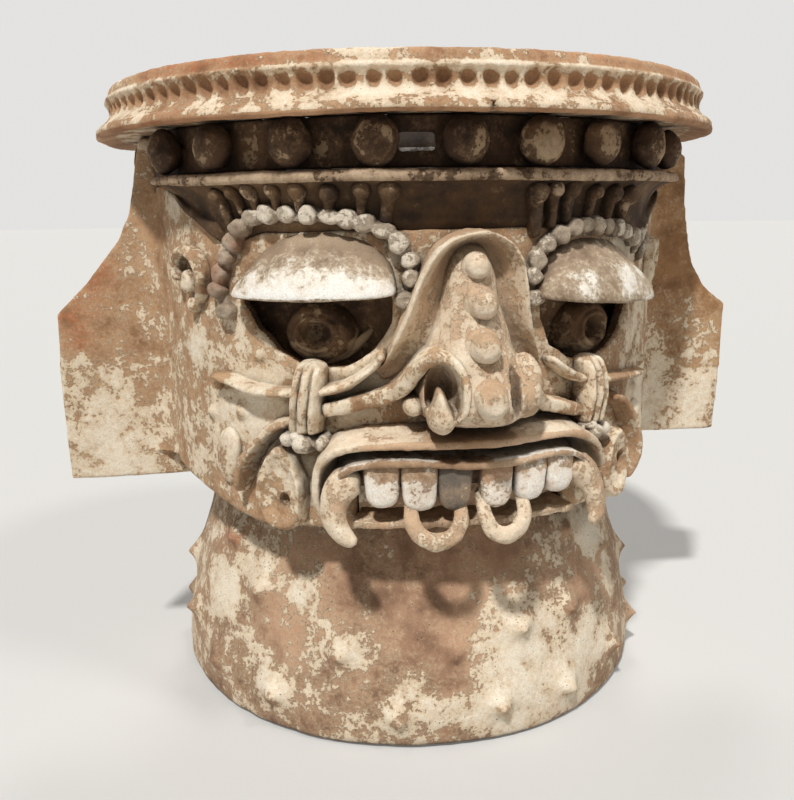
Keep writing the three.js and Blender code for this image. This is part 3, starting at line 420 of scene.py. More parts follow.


# %% [markdown]
# The finishes differ in how the bonfire coloured the clay and in how much lime is left. The face and wings
# are tan with cream flakes, and the right wing is darker, partly as painted shade. The collar and the
# hollow under the shelf are smoke-brown, darkened further with painted shade, as are the eyeballs and the
# parts behind the face. The lids and teeth keep the thickest white, and the foot is pinkish brown with torn
# white patches.

# %% The finishes of this pot
CREAM = ("#cbb08e", "#dfc8a8", "#efe2cb")
tan_clay = limed_clay("tan_clay_flaking_lime", ("#946f4f", "#b88f6a", "#cea780"), CREAM, 0.5)
# The right wing's finish, darker than the left's: browner clay, and painted shade on the side away from the
# key light
brown_wing_and_shade = limed_clay("brown_clay_thin_lime_and_shade", ("#85603f", "#a67d55", "#ba9168"), CREAM, 0.42)
foot_clay = limed_clay("pinkish_clay_torn_lime", ("#82644d", "#a98468", "#c39b7c"), CREAM, 0.46,
                       ragged=0.9, speck=0.9)
rim_clay = limed_clay("rim_clay_worn_lime", ("#8c6546", "#b48a66", "#cc9f78"),
                      ("#c6a884", "#dec6a5", "#f0dfc6"), 0.52)
# Smoke-brown clay, also used as painted shade on the collar under the rim, the eyeballs, the face's inside
# and the bowl behind it
smoke_and_shade_clay = limed_clay("smoke_and_shade_clay", ("#2c1e12", "#4f3826", "#6e5138"),
                         ("#84694d", "#9e8465", "#b89f80"), 0.16, grime_and_shade=0.9)
# The cove under the shelf and its rays: smoke-dark clay and painted shade
cove_smoke_and_shade_clay = limed_clay("smoke_and_shade_clay_under_shelf", ("#33251a", "#574029", "#7a5d3f"),
                       ("#8c7257", "#ab9074", "#c8af92"), 0.3, grime_and_shade=0.9)
lid_lime = limed_clay("thick_white_lime", ("#7c6651", "#a08a71", "#b9a286"),
                      ("#dfccb1", "#f0e4d0", "#faf5eb"), 0.62, ragged=0.85, speck=0.25, wash=0.8,
                      soft=0.17)
bead_clay = limed_clay("grey_buff_pellets", ("#8b7a66", "#a99884", "#bfae98"),
                       ("#c4b49c", "#d8cab4", "#e8dcca"), 0.5)
nose_clay = limed_clay("cream_pink_clay", ("#b99675", "#cba988", "#d6b798"),
                       ("#d0b594", "#dec7a8", "#ecdcc4"), 0.5, ragged=0.7)
tooth_lime = limed_clay("tooth_lime", ("#8a6a50", "#b0906f", "#c9aa88"),
                        ("#dcc4aa", "#eedfca", "#f9f2e6"), 0.66, ragged=0.8, speck=0.3)
grey_tooth = limed_clay("smoke_grey_tooth", ("#5a534d", "#7f7263", "#a88d6e"),
                        ("#a98f73", "#c4aa8a", "#dcc7aa"), 0.5, ragged=0.9)
ash_clay = limed_clay("soot_and_ash", ("#241f1b", "#3b342e", "#504840"),
                      ("#57514a", "#6b655d", "#7d776f"), 0.4, grime_and_shade=0.6)


# %% A second finish on part of a piece
def refinish(piece, finish, chosen):
    """Another finish on the faces whose middles, in mm round the axis, are chosen."""
    mesh = piece.data
    mesh.materials.append(finish)
    middle, index = np.empty(len(mesh.polygons) * 3, np.float32), np.zeros(len(mesh.polygons), np.int32)
    mesh.polygons.foreach_get("center", middle)
    mesh.polygons.foreach_get("material_index", index)
    picked = chosen((middle.reshape(-1, 3) - AXIS) / MM)
    index[picked] = len(mesh.materials) - 1
    mesh.polygons.foreach_set("material_index", index)
    print(f"{piece.name}: {finish.name} on {int(picked.sum())} faces")


# %% [markdown]
# ## The foot
#
# The foot is one thick-walled bell. Its conical spikes were pinched out of the wet wall and their tips
# sag a little, so they are pushed out of the turned wall here instead of being stuck on.

# %% Foot: a turned wall with pinched spikes
WAIST = 295
SPIKE_WIDE, SPIKE_LONG, SPIKE_SAG = 22, 18, 3.5
foot_line = through([(343, 0), (350, 8), (351.5, 34), (350, 62), (343, 100), (333, 147.5), (320, 195),
                     (306, 242), (295, 272), (285, WAIST)], 130)
foot_inner = through([(269, WAIST), (290, 242), (317, 147.5), (330, 40), (333, 3), (338, 0)], 40)
# Angle and height of each spike: first those of the front, then two staggered rows round the back
SPIKES = [(-77.6, 101), (-60.6, 65), (-60.4, 238), (-47.5, 186), (-41, 57), (-25.7, 126), (-12.9, 47),
          (-1.1, 130), (8.7, 56), (14.6, 151), (25.9, 54), (29.3, 155), (32.6, 255), (44.6, 69), (47, 208)]
SPIKES += [(angle + shift, height) for shift, height in ((0, 62), (8.8, 150))
           for angle in np.arange(64, 275, 17.6)]


def pinch(place):
    """Draws the spikes out of the foot's outer wall."""
    radius = radius_of(place)
    outer = radius > np.interp(place[:, 2], foot_line[:, 1], foot_line[:, 0]) - 6
    out, drop = np.zeros(len(place)), np.zeros(len(place))
    for k, (angle, height) in enumerate(SPIKES):
        spot = around(angle, height, np.interp(height, foot_line[:, 1], foot_line[:, 0]))
        gap = np.linalg.norm(place - spot, axis=1) / (SPIKE_WIDE + 2 * math.sin(7 * k))
        rise = np.exp(-(1.5 * gap) ** 1.35) * (gap < 2)
        out = np.maximum(out, (SPIKE_LONG + 2 * math.sin(5 * k)) * rise)
        drop = np.maximum(drop, SPIKE_SAG * rise)
    out *= outer
    way = place[:, :2] / radius[:, None]
    return np.column_stack([place[:, :2] + way * out[:, None], place[:, 2] - drop * outer])


# %% Foot: where its lime is lost, and the finished piece
foot_bare = [(-8, 165, 325, 60), (2, 120, 335, 45), (-30, 215, 315, 50), (-40, 150, 330, 40),
             (-3, 215, 312, 60), (38, 170, 325, 34), (-20, 85, 345, 28), (12, 245, 305, 40)]
foot_limed = [(-22, 120, 335, 26), (-14, 60, 350, 48), (12, 110, 338, 50), (10, 50, 350, 50),
              (28, 70, 350, 44), (-52, 205, 312, 26), (-35, 190, 318, 30), (-62, 150, 330, 34),
              (45, 230, 305, 34), (24, 150, 325, 30), (36, 90, 345, 40), (-43, 60, 350, 30)]


def foot_wear(p):
    """Bare and limed places of the foot as the front shows them; the spikes' tips are rubbed bare."""
    tips = [(angle, height - 8, np.interp(height, foot_line[:, 1], foot_line[:, 0]) + 10, 11)
            for angle, height in SPIKES]
    return 0.5 + 0.34 * near(p, foot_bare) - 0.3 * near(p, foot_limed) + 0.3 * near(p, tips)


make("pedestal", [turned(np.vstack([foot_line, foot_inner]), 900)], foot_clay,
     shape=pinch, rough=((150, 2.0), (40, 1.2), (14, 0.5), (5, 0.2)), worn=foot_wear,
     red=lambda p: near(p, [(-55, 232, 310, 30), (-66, 215, 310, 24)]))

# %% [markdown]
# ## The fire bowl
#
# Coiled and scraped, with a broad flat floor over the waist. Most of it hides behind the face, but from
# behind its plain wall shows, with the faint level ridges that the coils leave. A wave up the turned wall,
# bent a little by the unevenness, gives them without modelling a coil. Inside it is black and grey.

# %% Bowl: turned wall with coil ridges
BOWL_TOP, COIL = 716, 26
bowl_line = through([(285.4, 295.4), (286, 335), (292, 380), (301, 441), (311, 505), (320, 560),
                     (336, 638), (352, BOWL_TOP)], 120)
bowl_inner = through([(336, 715), (320, 638), (304, 560), (290, 470), (280, 400), (262, 345), (237, 318),
                      (180, 312), (90, 311)], 60)
bowl_ring = np.vstack([[(0.5, 295.4), (120, 295.4)], bowl_line, bowl_inner, [(0.5, 311)]])


def coils(place):
    """Level ridges a coil apart, as scraped coils leave."""
    radius = radius_of(place)
    outer = radius > np.interp(place[:, 2], bowl_line[:, 1], bowl_line[:, 0]) - 4
    ridge = 0.8 * np.sin(place[:, 2] / COIL * 2 * math.pi + 2 * unevenness(place, 160, 5))
    inner = np.clip((radius - 60) / 40, 0, 1) * np.where(outer, 1, 0.6)
    scale = 1 + ridge * inner / np.maximum(radius, 1)
    return np.column_stack([place[:, :2] * scale[:, None], place[:, 2]])


bowl = make("fire_bowl", [turned(bowl_ring, 620)], foot_clay, shape=coils,
            rough=((120, 1.4), (18, 0.5)))
# The bowl's front behind the face is painted dark: smoke, and painted shade
refinish(bowl, smoke_and_shade_clay, lambda p: (p[:, 1] < -60) & (p[:, 2] > 330) & (p[:, 2] < BOWL_TOP - 4))
refinish(bowl, ash_clay, lambda p: (p[:, 2] > 300) & (
    radius_of(p) < np.interp(p[:, 2], bowl_line[:, 1], bowl_line[:, 0]) - 5))

# %% [markdown]
# ## The collar of balls
#
# A short neck carries a row of clay balls as tall as the gap, each slapped on and flattened by hand: no
# two are quite round, and most have lost a flake from the front. Between two of them the neck is cut
# through to let air to the fire. A globe of rings, squashed and dented, makes a ball, and neck and balls
# are kneaded into one piece so that no seam shows.

# %% Collar: neck with a draught slot, and its balls
NECK, SHELF_TOP, FLANGE = 360, 716.4, 771.6
BALL_HEIGHT, BALL_HALF = 743.8, 27.4
SLOT_MIDDLE, SLOT_HALF, SLOT_LOW, SLOT_HIGH = -8.4, 3.2, 734, 754      # angles, then heights
# The first eight are those in front, which stand unevenly; the rest go evenly round the back
ball_angles = [-60.5, -45.7, -29.8, -15.3, -0.6, 12.7, 25.9, 41.0]
ball_angles += [-1.5 + 360 * i / 26 for i in range(4, 22)]
BROKEN_OFF = (9, 24, 25)        # only stumps are left of the three behind the wings' corners


def neck_piece(first, last, low, high):
    """Part of the neck as a closed skin between two angles and two heights."""
    angles = np.linspace(first, last, max(4, int(abs(last - first) * 1.2)))
    ring = np.array([(NECK - 14, low), (NECK, low), (NECK, high), (NECK - 14, high)], float)
    return skin(around(angles[:, None], ring[None, :, 1], ring[None, :, 0]))


def clay_ball(angle, k):
    """Slapped-on ball: uneven, flattened by the hand, with a curved scar where a flake is lost."""
    turns, tilts = np.linspace(0, 2 * math.pi, 64, endpoint=False), np.linspace(0.06, math.pi - 0.06, 40)
    size, reach = (12, 1) if k in BROKEN_OFF else (BALL_HALF, 17)      # reach is from the neck out
    size *= 1 + 0.03 * math.sin(3 * k)
    side = np.sin(tilts)[:, None] * np.cos(turns)[None, :]
    rise = np.cos(tilts)[:, None] + 0 * turns[None, :]
    out = np.sin(tilts)[:, None] * np.sin(turns)[None, :]
    points = np.stack([side, rise, out], -1).reshape(-1, 3)
    lumpy = 1 + 0.07 * unevenness(points * 30, 20, 40 + k) + 0.03 * unevenness(points * 30, 8, 90 + k)
    scar = np.array([0.55 * math.sin(4 * k), 0.4 * math.cos(3 * k), 0.0])
    scar[2] = -math.sqrt(1 - scar @ scar)
    toward = points @ scar
    broken = np.clip((toward - 0.7) / 0.14, 0, 1)
    flat = broken**2 * (3 - 2 * broken) * (0.2 + 0.12 * math.sin(2 * k)) * (
        1 + 0.25 * unevenness(points * 30, 9, 60 + k)) + np.clip(toward - 0.84, 0, 1) * 0.5
    ring = np.exp(-((toward - 0.8) / 0.045) ** 2) * np.clip(0.5 + points @ np.array(
        [math.sin(k), math.cos(k), 0.0]), 0, 1)
    points = points * (lumpy - flat - 0.11 * ring)[:, None]
    centre = around(angle, BALL_HEIGHT, NECK + reach)
    level, outward = directions(angle)
    spots = (centre + points[:, :1] * level * size * 0.94 + points[:, 2:] * outward * size * 0.7
             + points[:, 1:2] * np.array([0, 0, size * 0.96]))
    return skin(spots.reshape(40, 64, 3))


span = (SLOT_MIDDLE - SLOT_HALF, SLOT_MIDDLE + SLOT_HALF)
collar = [neck_piece(span[1], 360 + span[0], SHELF_TOP, FLANGE),
          neck_piece(*span, SHELF_TOP, SLOT_LOW), neck_piece(*span, SLOT_HIGH, FLANGE)]
collar += [clay_ball(angle, k) for k, angle in enumerate(ball_angles)]
# The collar is smoke-brown clay, darkened further as painted shade under the rim
piece = make("ball_collar", collar, smoke_and_shade_clay, cell=2.0, rounds=2,
             rough=((24, 0.8), (9, 0.7), (4, 0.35)),
             worn=lambda p: 0.5 - 0.3 * unevenness(p, 26, 9) - 0.24 * (radius_of(p) > NECK + 30))
refinish(piece, ash_clay, lambda p: radius_of(p) < NECK - 10)

# %% [markdown]
# ## The rim
#
# The flange is a slab turned down at its edge to a thin lip. Over it stands a band in which the maker
# pressed a fingertip every 24 mm: oval pits, no two alike, each pushing up a little ring of clay. Above
# the pits runs a wavy ridge, and the top leans inward. A formula moves the turned band's points inward
# at each pit: cutting 108 of them with tools would be slow, and their edges too sharp for wet clay.

# %% Flange with its drooping lip
FLANGE_TOP, FLANGE_INNER = 785.9, 347   # height and radius
CRACK, CRACK_END = 1.6, 9               # angles of the crack in the lip, and where its step fades out
flange_line = through([(346.4, 772.2), (372, 772.3), (396, 771.5), (412, 768.5), (423, 766.3),
                       (429, 767.6), (430.6, 771), (429, 776), (423, 781), (415, 785.4)], 60)
flange_ring = np.vstack([flange_line, [(380, 785.6), (FLANGE_INNER, 785.6), (346.2, 779)]])


def warp_lip(place):
    """The lip waves, and has a cracked step near the middle of the front."""
    radius, angle = radius_of(place), angle_of(place)
    edge = np.clip((radius - 385) / 45, 0, 1)
    rise = edge * (1.6 * unevenness(place, 90, 3) + 0.8 * unevenness(place, 30, 4))
    crack = np.exp(-((angle - CRACK) / 0.55) ** 2) * edge
    rise += edge * 2.6 * (angle > CRACK) * np.clip((CRACK_END - angle) / 8, 0, 1) + 3 * crack
    scale = 1 - (9 * crack + 1.6 * edge * (0.6 + unevenness(place, 26, 6))) / radius
    return np.column_stack([place[:, :2] * scale[:, None], np.minimum(place[:, 2] + rise, FLANGE_TOP)])


piece = make("rim_flange", [turned(flange_ring, 900)], rim_clay, shape=warp_lip,
             rough=((12, 0.4), (4, 0.25)),
             worn=lambda p: np.where(p[:, 2] < 770.5, 0.9, 0.36) + 0.12 * (p[:, 2] < 779),
             red=lambda p: 0.5 * near(p, [(-50, 775, 425, 90)]))
refinish(piece, ash_clay, lambda p: radius_of(p) < FLANGE_INNER + 5)

# %% Band with its fingertip impressions
DENTS, DENT_HEIGHT, DENT_RADIUS, DENT_DEEP = 108, 800.5, 411, 6.9
DENT_HALF_WIDE, DENT_HALF_TALL = 9.0, 13.4
RIDGE = 813                             # height of the wavy ridge
band_line = through([(423, 778), (420.8, 782.6), (416.6, 786.4), (413, 790.6), (411, 796), (410.6, 801),
                     (411.5, 806), (413.2, 810), (415, 813.2), (414.8, 816), (412.2, 818.6), (410.8, 822),
                     (409.4, 826.5), (406.5, 830.2), (402, 831.9), (397.5, 831.6)], 64)
band_ring = np.vstack([band_line, [(396.3, 828), (396.2, 808), (396.2, 785), (404, 782), (418, 777)]])


def press_band(place):
    """Presses the fingertips in, raises their rings, and lets the ridge wave."""
    radius, angle = radius_of(place), angle_of(place)
    outer = np.clip((radius - 403) / 5, 0, 1)
    number = np.floor(angle / 360 * DENTS)
    depth = np.zeros(len(place))
    for shift in (-1, 0, 1):
        k = (number + shift) % DENTS
        chance = [np.sin(k * q + 1) * 43.7 % 1 - 0.5 for q in (12.9898, 78.233, 37.719, 53.17, 9.13)]
        middle = (number + shift + 0.5) * 360 / DENTS + 0.5 * chance[0]
        side = np.radians(angle - middle) * DENT_RADIUS
        rise = place[:, 2] - DENT_HEIGHT - 1.8 * chance[1]
        lean = 0.28 * chance[4] + 0.1
        side, rise = side + lean * rise, rise - 0.3 * lean * side
        oval = np.hypot(side / (DENT_HALF_WIDE * (1 + 0.2 * chance[2])),
                        rise / (DENT_HALF_TALL * (1 + 0.16 * chance[3])))
        pit = np.clip(1 - oval**1.9, 0, 1) ** 0.8
        ring = np.exp(-((oval - 1.14) / 0.12) ** 2)
        depth = np.maximum(depth, DENT_DEEP * pit * (1 + 0.3 * chance[1])) - 1.7 * ring * (pit == 0)
    wave = 1.8 * unevenness(np.column_stack([place[:, :2], np.zeros(len(place))]), 46, 8)
    top = np.clip((place[:, 2] - 806) / 8, 0, 1)
    height = place[:, 2] + wave * np.exp(-((place[:, 2] - RIDGE) / 5) ** 2) - 2.0 * top * (
        0.5 + 0.5 * unevenness(place, 70, 12))
    scale = 1 - depth * outer / radius
    return np.column_stack([place[:, :2] * scale[:, None], height])


def band_wear(p):
    """Bare clay in the pits and on the leaning top, lime on the ridge and between the pits."""
    radius = radius_of(p)
    pit = np.clip((409.4 - radius) / 2.4, 0, 1) * (p[:, 2] > 789) * (p[:, 2] < 812)
    top = np.clip((p[:, 2] - 816.5) / 2, 0, 1)
    between = np.exp(-((p[:, 2] - 802) / 8) ** 2) * np.clip((412.6 - radius) / 2, 0, 1)
    return 0.32 + 0.45 * pit + 0.34 * top + 0.42 * between + 0.2 * unevenness(p, 70, 15)


piece = make("impressed_rim_band", [turned(band_ring, 1500)], rim_clay,
             shape=press_band, rough=((10, 0.45), (3.5, 0.3)), worn=band_wear,
             red=lambda p: np.clip((p[:, 2] - 816) / 3, 0, 1) * (0.5 + 0.5 * unevenness(p, 110, 14)))
refinish(piece, ash_clay, lambda p: (radius_of(p) < 398.5) & (p[:, 2] < 829))

# %% [markdown]
# ## Wings and the ground of the face
#
# These are plain slabs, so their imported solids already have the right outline. Each is copied, kneaded in
# 3 mm cells so that its cut edges round off, and given a hand's unevenness. Wet clay was smoothed into the
# corners between wings and face, and up from each wing to the neck, so that is kneaded in with the slab.

# %% Copy a solid of the frame
def solid(name):
    """Points in mm round the axis, and faces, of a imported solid."""
    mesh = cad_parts[name].data
    flat = np.empty(len(mesh.vertices) * 3, np.float32)
    mesh.vertices.foreach_get("co", flat)
    return (flat.reshape(-1, 3) - AXIS) / MM, [tuple(p.vertices) for p in mesh.polygons]


print("the solid of the face has", len(solid("face_mask")[0]), "points")

# %% Clay smoothed in beside the wings
FACE = 358.0                            # radius of the face's ground
WING_ROOT, CORNER_END = 348, 386        # mm to either side of the middle
WING_FRONT, WING_INSIDE = -60.6, -50    # mm back from the axis


def corner(hand):
    """Wet clay smoothed into the corner between a wing and the side of the face."""
    t = np.linspace(0, 1, 12)[:, None]
    rows = []
    for height in np.linspace(338, 700, 90):
        start = around(hand * 70.5, height, FACE - 4)
        bend, end = (np.array([hand * x, WING_FRONT, height]) for x in (353, CORNER_END))
        curve = (1 - t) ** 2 * start + 2 * t * (1 - t) * bend + t**2 * end
        curve = bend + (curve - bend) * min(1, (710 - height) / 70) ** 0.6
        rows.append(np.vstack([curve, [(hand * x, WING_INSIDE, height) for x in (CORNER_END, WING_ROOT)]]))
    return skin(np.array(rows))


def shoulder(name, hand, edge):
    """Clay that joins a wing's top corner to the neck; edge is (height, distance from the middle)."""
    front, back = ((np.array(side) - AXIS)[1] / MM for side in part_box(name))
    return skin(np.array([[(hand * x, y, height) for x, y in (
        (WING_ROOT, front), (out, front), (out, back), (WING_ROOT, back))]
        for height, out in through(edge, 30)]))


# %% Wings
wing_red = [(-83, 530, 492, 27), (-83, 592, 446, 26), (-83, 500, 478, 20), (-83, 560, 466, 27)]
wing_limed = [(-88, 350, 465, 58), (-86, 410, 470, 52), (-84, 330, 420, 40), (-80, 380, 400, 34)]


def left_wear(p):
    """Cream in the lower half of the outer edge, bare tan above."""
    low = np.clip((520 - p[:, 2]) / 150, -1, 1)
    out = np.clip((np.abs(p[:, 0]) - 350) / 90, 0, 1)
    return (0.57 - 0.17 * low * (0.4 + 0.6 * out) - 0.1 * near(p, wing_limed)
            + 0.12 * near(p, wing_red))


def right_wear(p):
    """Bare above and near the outer edge, limed below."""
    return (0.5 + 0.25 * np.clip((p[:, 2] - 480) / 90, -1, 1)
            + 0.2 * np.clip((np.abs(p[:, 0]) - 440) / 60, 0, 1) * (p[:, 2] > 420))


left_edge = [(698, 384), (712, 382), (735, 378), (752, 375), (771, 370)]
right_edge = [(698, 421), (720, 421), (744, 420), (752, 406), (762, 392), (771, 380)]
# The right wing's darker finish is partly painted shade
for name, hand, edge, finish, slot, worn, red in (
        ("wing_left", -1, left_edge, tan_clay, "worn_stucco", left_wear, lambda p: near(p, wing_red)),
        ("wing_right", 1, right_edge, brown_wing_and_shade, "buff_clay", right_wear, 0.0)):
    make(name, [solid(name), corner(hand), shoulder(name, hand, edge)], finish, cell=3, rounds=6,
         rough=((90, 1.6), (20, 0.6), (6, 0.25)), worn=worn, red=red)

# %% Ground of the face
mask_limed = [(-48, 560, 358, 26), (-57, 500, 358, 26), (-58, 620, 358, 24), (-50, 440, 358, 26),
              (-40, 420, 358, 26), (-60, 380, 358, 40), (-20, 440, 358, 34), (10, 432, 358, 40),
              (46, 500, 358, 40), (52, 440, 358, 40), (40, 620, 358, 34), (-66, 700, 358, 26)]
piece = make("face_mask", [solid("face_mask")], tan_clay, cell=2.7, rounds=6,
             rough=((70, 2.0), (18, 0.8), (6, 0.3)), worn=lambda p: 0.52 - 0.26 * near(p, mask_limed),
             red=lambda p: 0.5 * near(p, [(-45, 455, 358, 30), (-35, 485, 358, 26)]))
# Its inside, round the eye openings and behind the face, is painted dark: painted shade
refinish(piece, smoke_and_shade_clay, lambda p: (radius_of(p) < FACE - 6) & (p[:, 1] < -90))     # its inside
make("mouth_ledge", [solid("mouth_ledge")], nose_clay, cell=2, rounds=3,
     rough=((14, 2.2), (5, 0.7)))

# %% [markdown]
# ## The shelf over the brow
#
# A slab with a rounded edge stands out over the face. Under it the clay is scooped to a cove, coloured
# smoke-dark and darkened with painted shade, and at each end the cove closes to a lipped point. No one
# outline fits all along it, so its cross-section is drawn anew at each angle. The edge waves, and chips
# have broken out of it.

# %% Shelf
# By angle: the height of the cove's lower edge, and how far its lip stands out
COVE = [(-70, 703), (-66, 697), (-62, 688), (-54, 663), (-46, 634), (-42, 640), (-38, 650), (-20, 652),
        (0, 652), (20, 652), (34, 652), (38, 644), (42, 636), (46, 644), (50, 654), (57, 686), (70, 705)]
LIP = [(-68, 0), (-60, 11), (-50, 11), (-44, 0), (41, 0), (47, 11), (58, 11), (68, 0)]


def shelf_ring(angle):
    """Cross-section of the shelf at an angle, as a ring of points."""
    low, lip = (np.interp(angle, *zip(*line)) for line in (COVE, LIP))
    rise = max(702 - low, 4)
    back = np.interp([715.4, (715 + low) / 2, low], bowl_line[:, 1], bowl_line[:, 0]) + 1
    thin = np.interp(abs(angle), (52, 70), (0, 5))      # the edge thins towards both ends
    front = through([(353 + lip, low - 3), (358 + max(1.5, lip - 4), low + 0.1 * rise + 2),
                     (359.5, low + 0.3 * rise), (361.5, low + 0.5 * rise), (366, low + 0.72 * rise),
                     (374, low + 0.9 * rise + thin / 2), (384, 702.2 + thin), (389.5, 703 + thin),
                     (392, 706.5 + thin / 2), (392, 711), (389, 714.8), (384, 716)], 44)
    ring = np.vstack([[(back[0], 715.8), (back[1], (715 + low) / 2), (back[2], low)], front])
    return around(angle, ring[:, 1], ring[:, 0])


def wave_shelf(place):
    """Wavers the edge, and takes it back where chips are lost and at both broken ends."""
    radius, angle = radius_of(place), angle_of(place)
    edge = np.clip((radius - 362) / 26, 0, 1)
    chips = sum(size * np.exp(-((angle - spot) / width) ** 2) for spot, width, size in (
        (8, 0.9, 4), (14.2, 1.6, 3), (-31, 0.8, 2), (33, 1.2, 3.5), (49, 1.4, 4), (-72, 5.5, 26),
        (72, 4, 22)))
    scale = 1 - edge * (chips + 1.3 + 1.3 * unevenness(place, 34, 21)) / radius
    droop = edge * 1.3 * (unevenness(place, 60, 22) - 0.8) * (place[:, 2] > 690)
    strokes = 1.8 * unevenness(place * np.array([1, 1, 0.35]), 16, 23)      # of the scooping thumb
    scale += (place[:, 2] < 700) * (radius < 380) * strokes / radius
    return np.column_stack([place[:, :2] * scale[:, None], place[:, 2] + droop])


# Lime on the outer edge, bare dark clay in the cove: painted shade under the shelf
make("visor", [skin(np.array([shelf_ring(angle) for angle in np.linspace(-70, 70, 330)]))], cove_smoke_and_shade_clay,
     shape=wave_shelf, rough=((9, 0.4), (4, 0.25)),
     worn=lambda p: 0.75 - 0.6 * np.clip((radius_of(p) - 384) / 3, 0, 1))

# %% [markdown]
# ## Rolls and pats of clay
#
# Most of the face is rolls pressed to the ground with wet fingers. A roll is a cross-section swept along a
# smooth line on the face: angle, height, then shares of its width and of how far it stands out. Its foot
# flares where it was luted, and its ends close bluntly. A pat is a lump with any outline.

# %% Cross-sections of rolls: (across, out)
SECTIONS = {
    "round": [(-1.16, 0), (-1, .2), (-.93, .56), (-.6, .89), (0, 1), (.6, .89), (.93, .56), (1, .2),
              (1.16, 0)],
    "flat": [(-1.12, 0), (-1, .2), (-.97, .72), (-.76, .95), (0, 1), (.76, .95), (.97, .72), (1, .2),
             (1.12, 0)],
    "lip": [(-1.1, 0), (-.8, .4), (-.58, .86), (-.42, 1), (.3, 1), (.52, .93), (.95, .55), (1.3, .28),
            (1.8, 0)],
    "crest": [(-1.15, 0), (-.95, .13), (-.5, .17), (0, .26), (.4, .52), (.66, .84), (.8, .99), (.94, .97),
              (1.02, .8), (1.05, .4), (1.2, 0)],
    "blade": [(-1.1, 0), (-.8, .3), (-.62, .8), (-.42, .98), (.1, 1), (.4, .9), (.7, .4), (1.1, 0)],
}
STRANDS = [(x, (1 - abs(x) ** 5) ** 0.4 * (0.74 + 0.26 * abs(math.sin(1.5 * math.pi * (x + 1))) ** 0.55))
           for x in np.linspace(-1, 1, 61)]


def section(kind):
    """Closed cross-section as across, out; an out of -1 is the part sunk in the wall."""
    if kind == "rod":
        t = np.linspace(0, 2 * math.pi, 32, endpoint=False)
        return np.column_stack([-np.cos(t), np.sin(t)])
    top = np.array(STRANDS) if kind == "strands" else through(SECTIONS[kind], 30)
    return np.vstack([top, [(0.8, -1), (0, -1), (-0.8, -1)]])


print("sections:", ", ".join(SECTIONS), "and strands")

# %% Sweep a roll
SUNK = 5            # mm that a roll reaches into the wall


def roll(stations, wide, proud, kind="round", base=FACE, step=1.7, blunt=(1, 1)):
    """Roll swept through stations: (angle, height, share of width, share of proud, lift).

    It lies on a wall at radius base, with a ring of points every step mm. blunt is how many half
    widths each end takes to close; 0 leaves it cut off.
    """
    rows = [tuple(s) + (0,) * (5 - len(s)) for s in stations]
    fine = through(rows, 60 * len(rows))
    run = np.concatenate([[0], np.cumsum(np.hypot(np.diff(np.radians(fine[:, 0])) * base,
                                                  np.diff(fine[:, 1])))])
    even = np.linspace(0, run[-1], max(12, int(run[-1] / step)))
    fine = np.column_stack([np.interp(even, run, fine[:, k]) for k in range(5)])
    line = np.column_stack([np.radians(fine[:, 0]) * base, fine[:, 1]])
    way = np.gradient(line, axis=0)
    way /= np.linalg.norm(way, axis=1)[:, None]
    half = np.maximum(fine[:, 2] * wide / 2, 0.3)
    close = np.ones(len(even))
    for on, gap in ((blunt[0], even), (blunt[1], even[-1] - even)):
        if on:
            past = 1 - np.clip(gap / (half * on), 0, 1)
            close = np.minimum(close, np.sqrt(np.clip(1 - past**2, 0.02, 1)))
    half, out = half * close, fine[:, 3] * proud * close**0.7
    shape = section(kind)
    side = shape[None, :, 0] * half[:, None]
    s = line[:, :1] - way[:, 1:] * side
    z = line[:, 1:] + way[:, :1] * side
    if kind == "rod":
        lift = shape[None, :, 1] * out[:, None] / 2
    else:
        lift = np.where(shape[None, :, 1] < 0, -SUNK, shape[None, :, 1] * out[:, None])
    return skin(around(np.degrees(s / base), z, base + fine[:, 4:] + lift))


whisker = roll([(-20, 470, 1, 1), (20, 470, 1, 1)], 12, 20)
print("a roll across the face has", len(whisker[1]), "faces")

# %% Pat a lump
DOME = [(1, -.3), (1, 0), (.985, .25), (.93, .5), (.8, .74), (.6, .9), (.3, .985), (0.03, 1)]
DISH = [(1, -.3), (1, .1), (.99, .5), (.96, .8), (.88, 1), (.72, .95), (.5, .8), (.25, .78), (0.03, .8)]


def pat(angle, height, wide, tall, proud, base=FACE, lean=0, edge=None, profile=DOME, sides=44, rows=22):
    """Lump on the wall; edge may give its outline, in mm, and profile is (share of it, share of proud)."""
    turns = np.linspace(0, 2 * math.pi, sides, endpoint=False)
    outline = np.column_stack([np.cos(turns) * wide / 2, np.sin(turns) * tall / 2])
    if edge is not None:
        outline = through(edge, sides, loop=True)
    c, s = math.cos(math.radians(lean)), math.sin(math.radians(lean))
    outline = outline @ np.array([[c, s], [-s, c]])
    form = through(profile, rows)
    across = form[:, :1] * outline[None, :, 0]
    up = form[:, :1] * outline[None, :, 1]
    return skin(around(angle + np.degrees(across / base), height + up, base + form[:, 1:] * proud + 0 * up))


print("a pat has", len(pat(0, 500, 20, 20, 10)[1]), "faces")

# %% [markdown]
# ## Eyes
#
# Each eye is a deep opening with a domed ball far behind it, hooded by a lid like half a bowl: thin and
# crisp along its lower edge, thick with white lime there, and browner towards the brow. The lid's end
# beside the nose is blunt, and its outer end runs to a point. One curve from the crisp edge to the brow
# makes the hood, and it is stretched at each place by how high and how far out the lid is there.

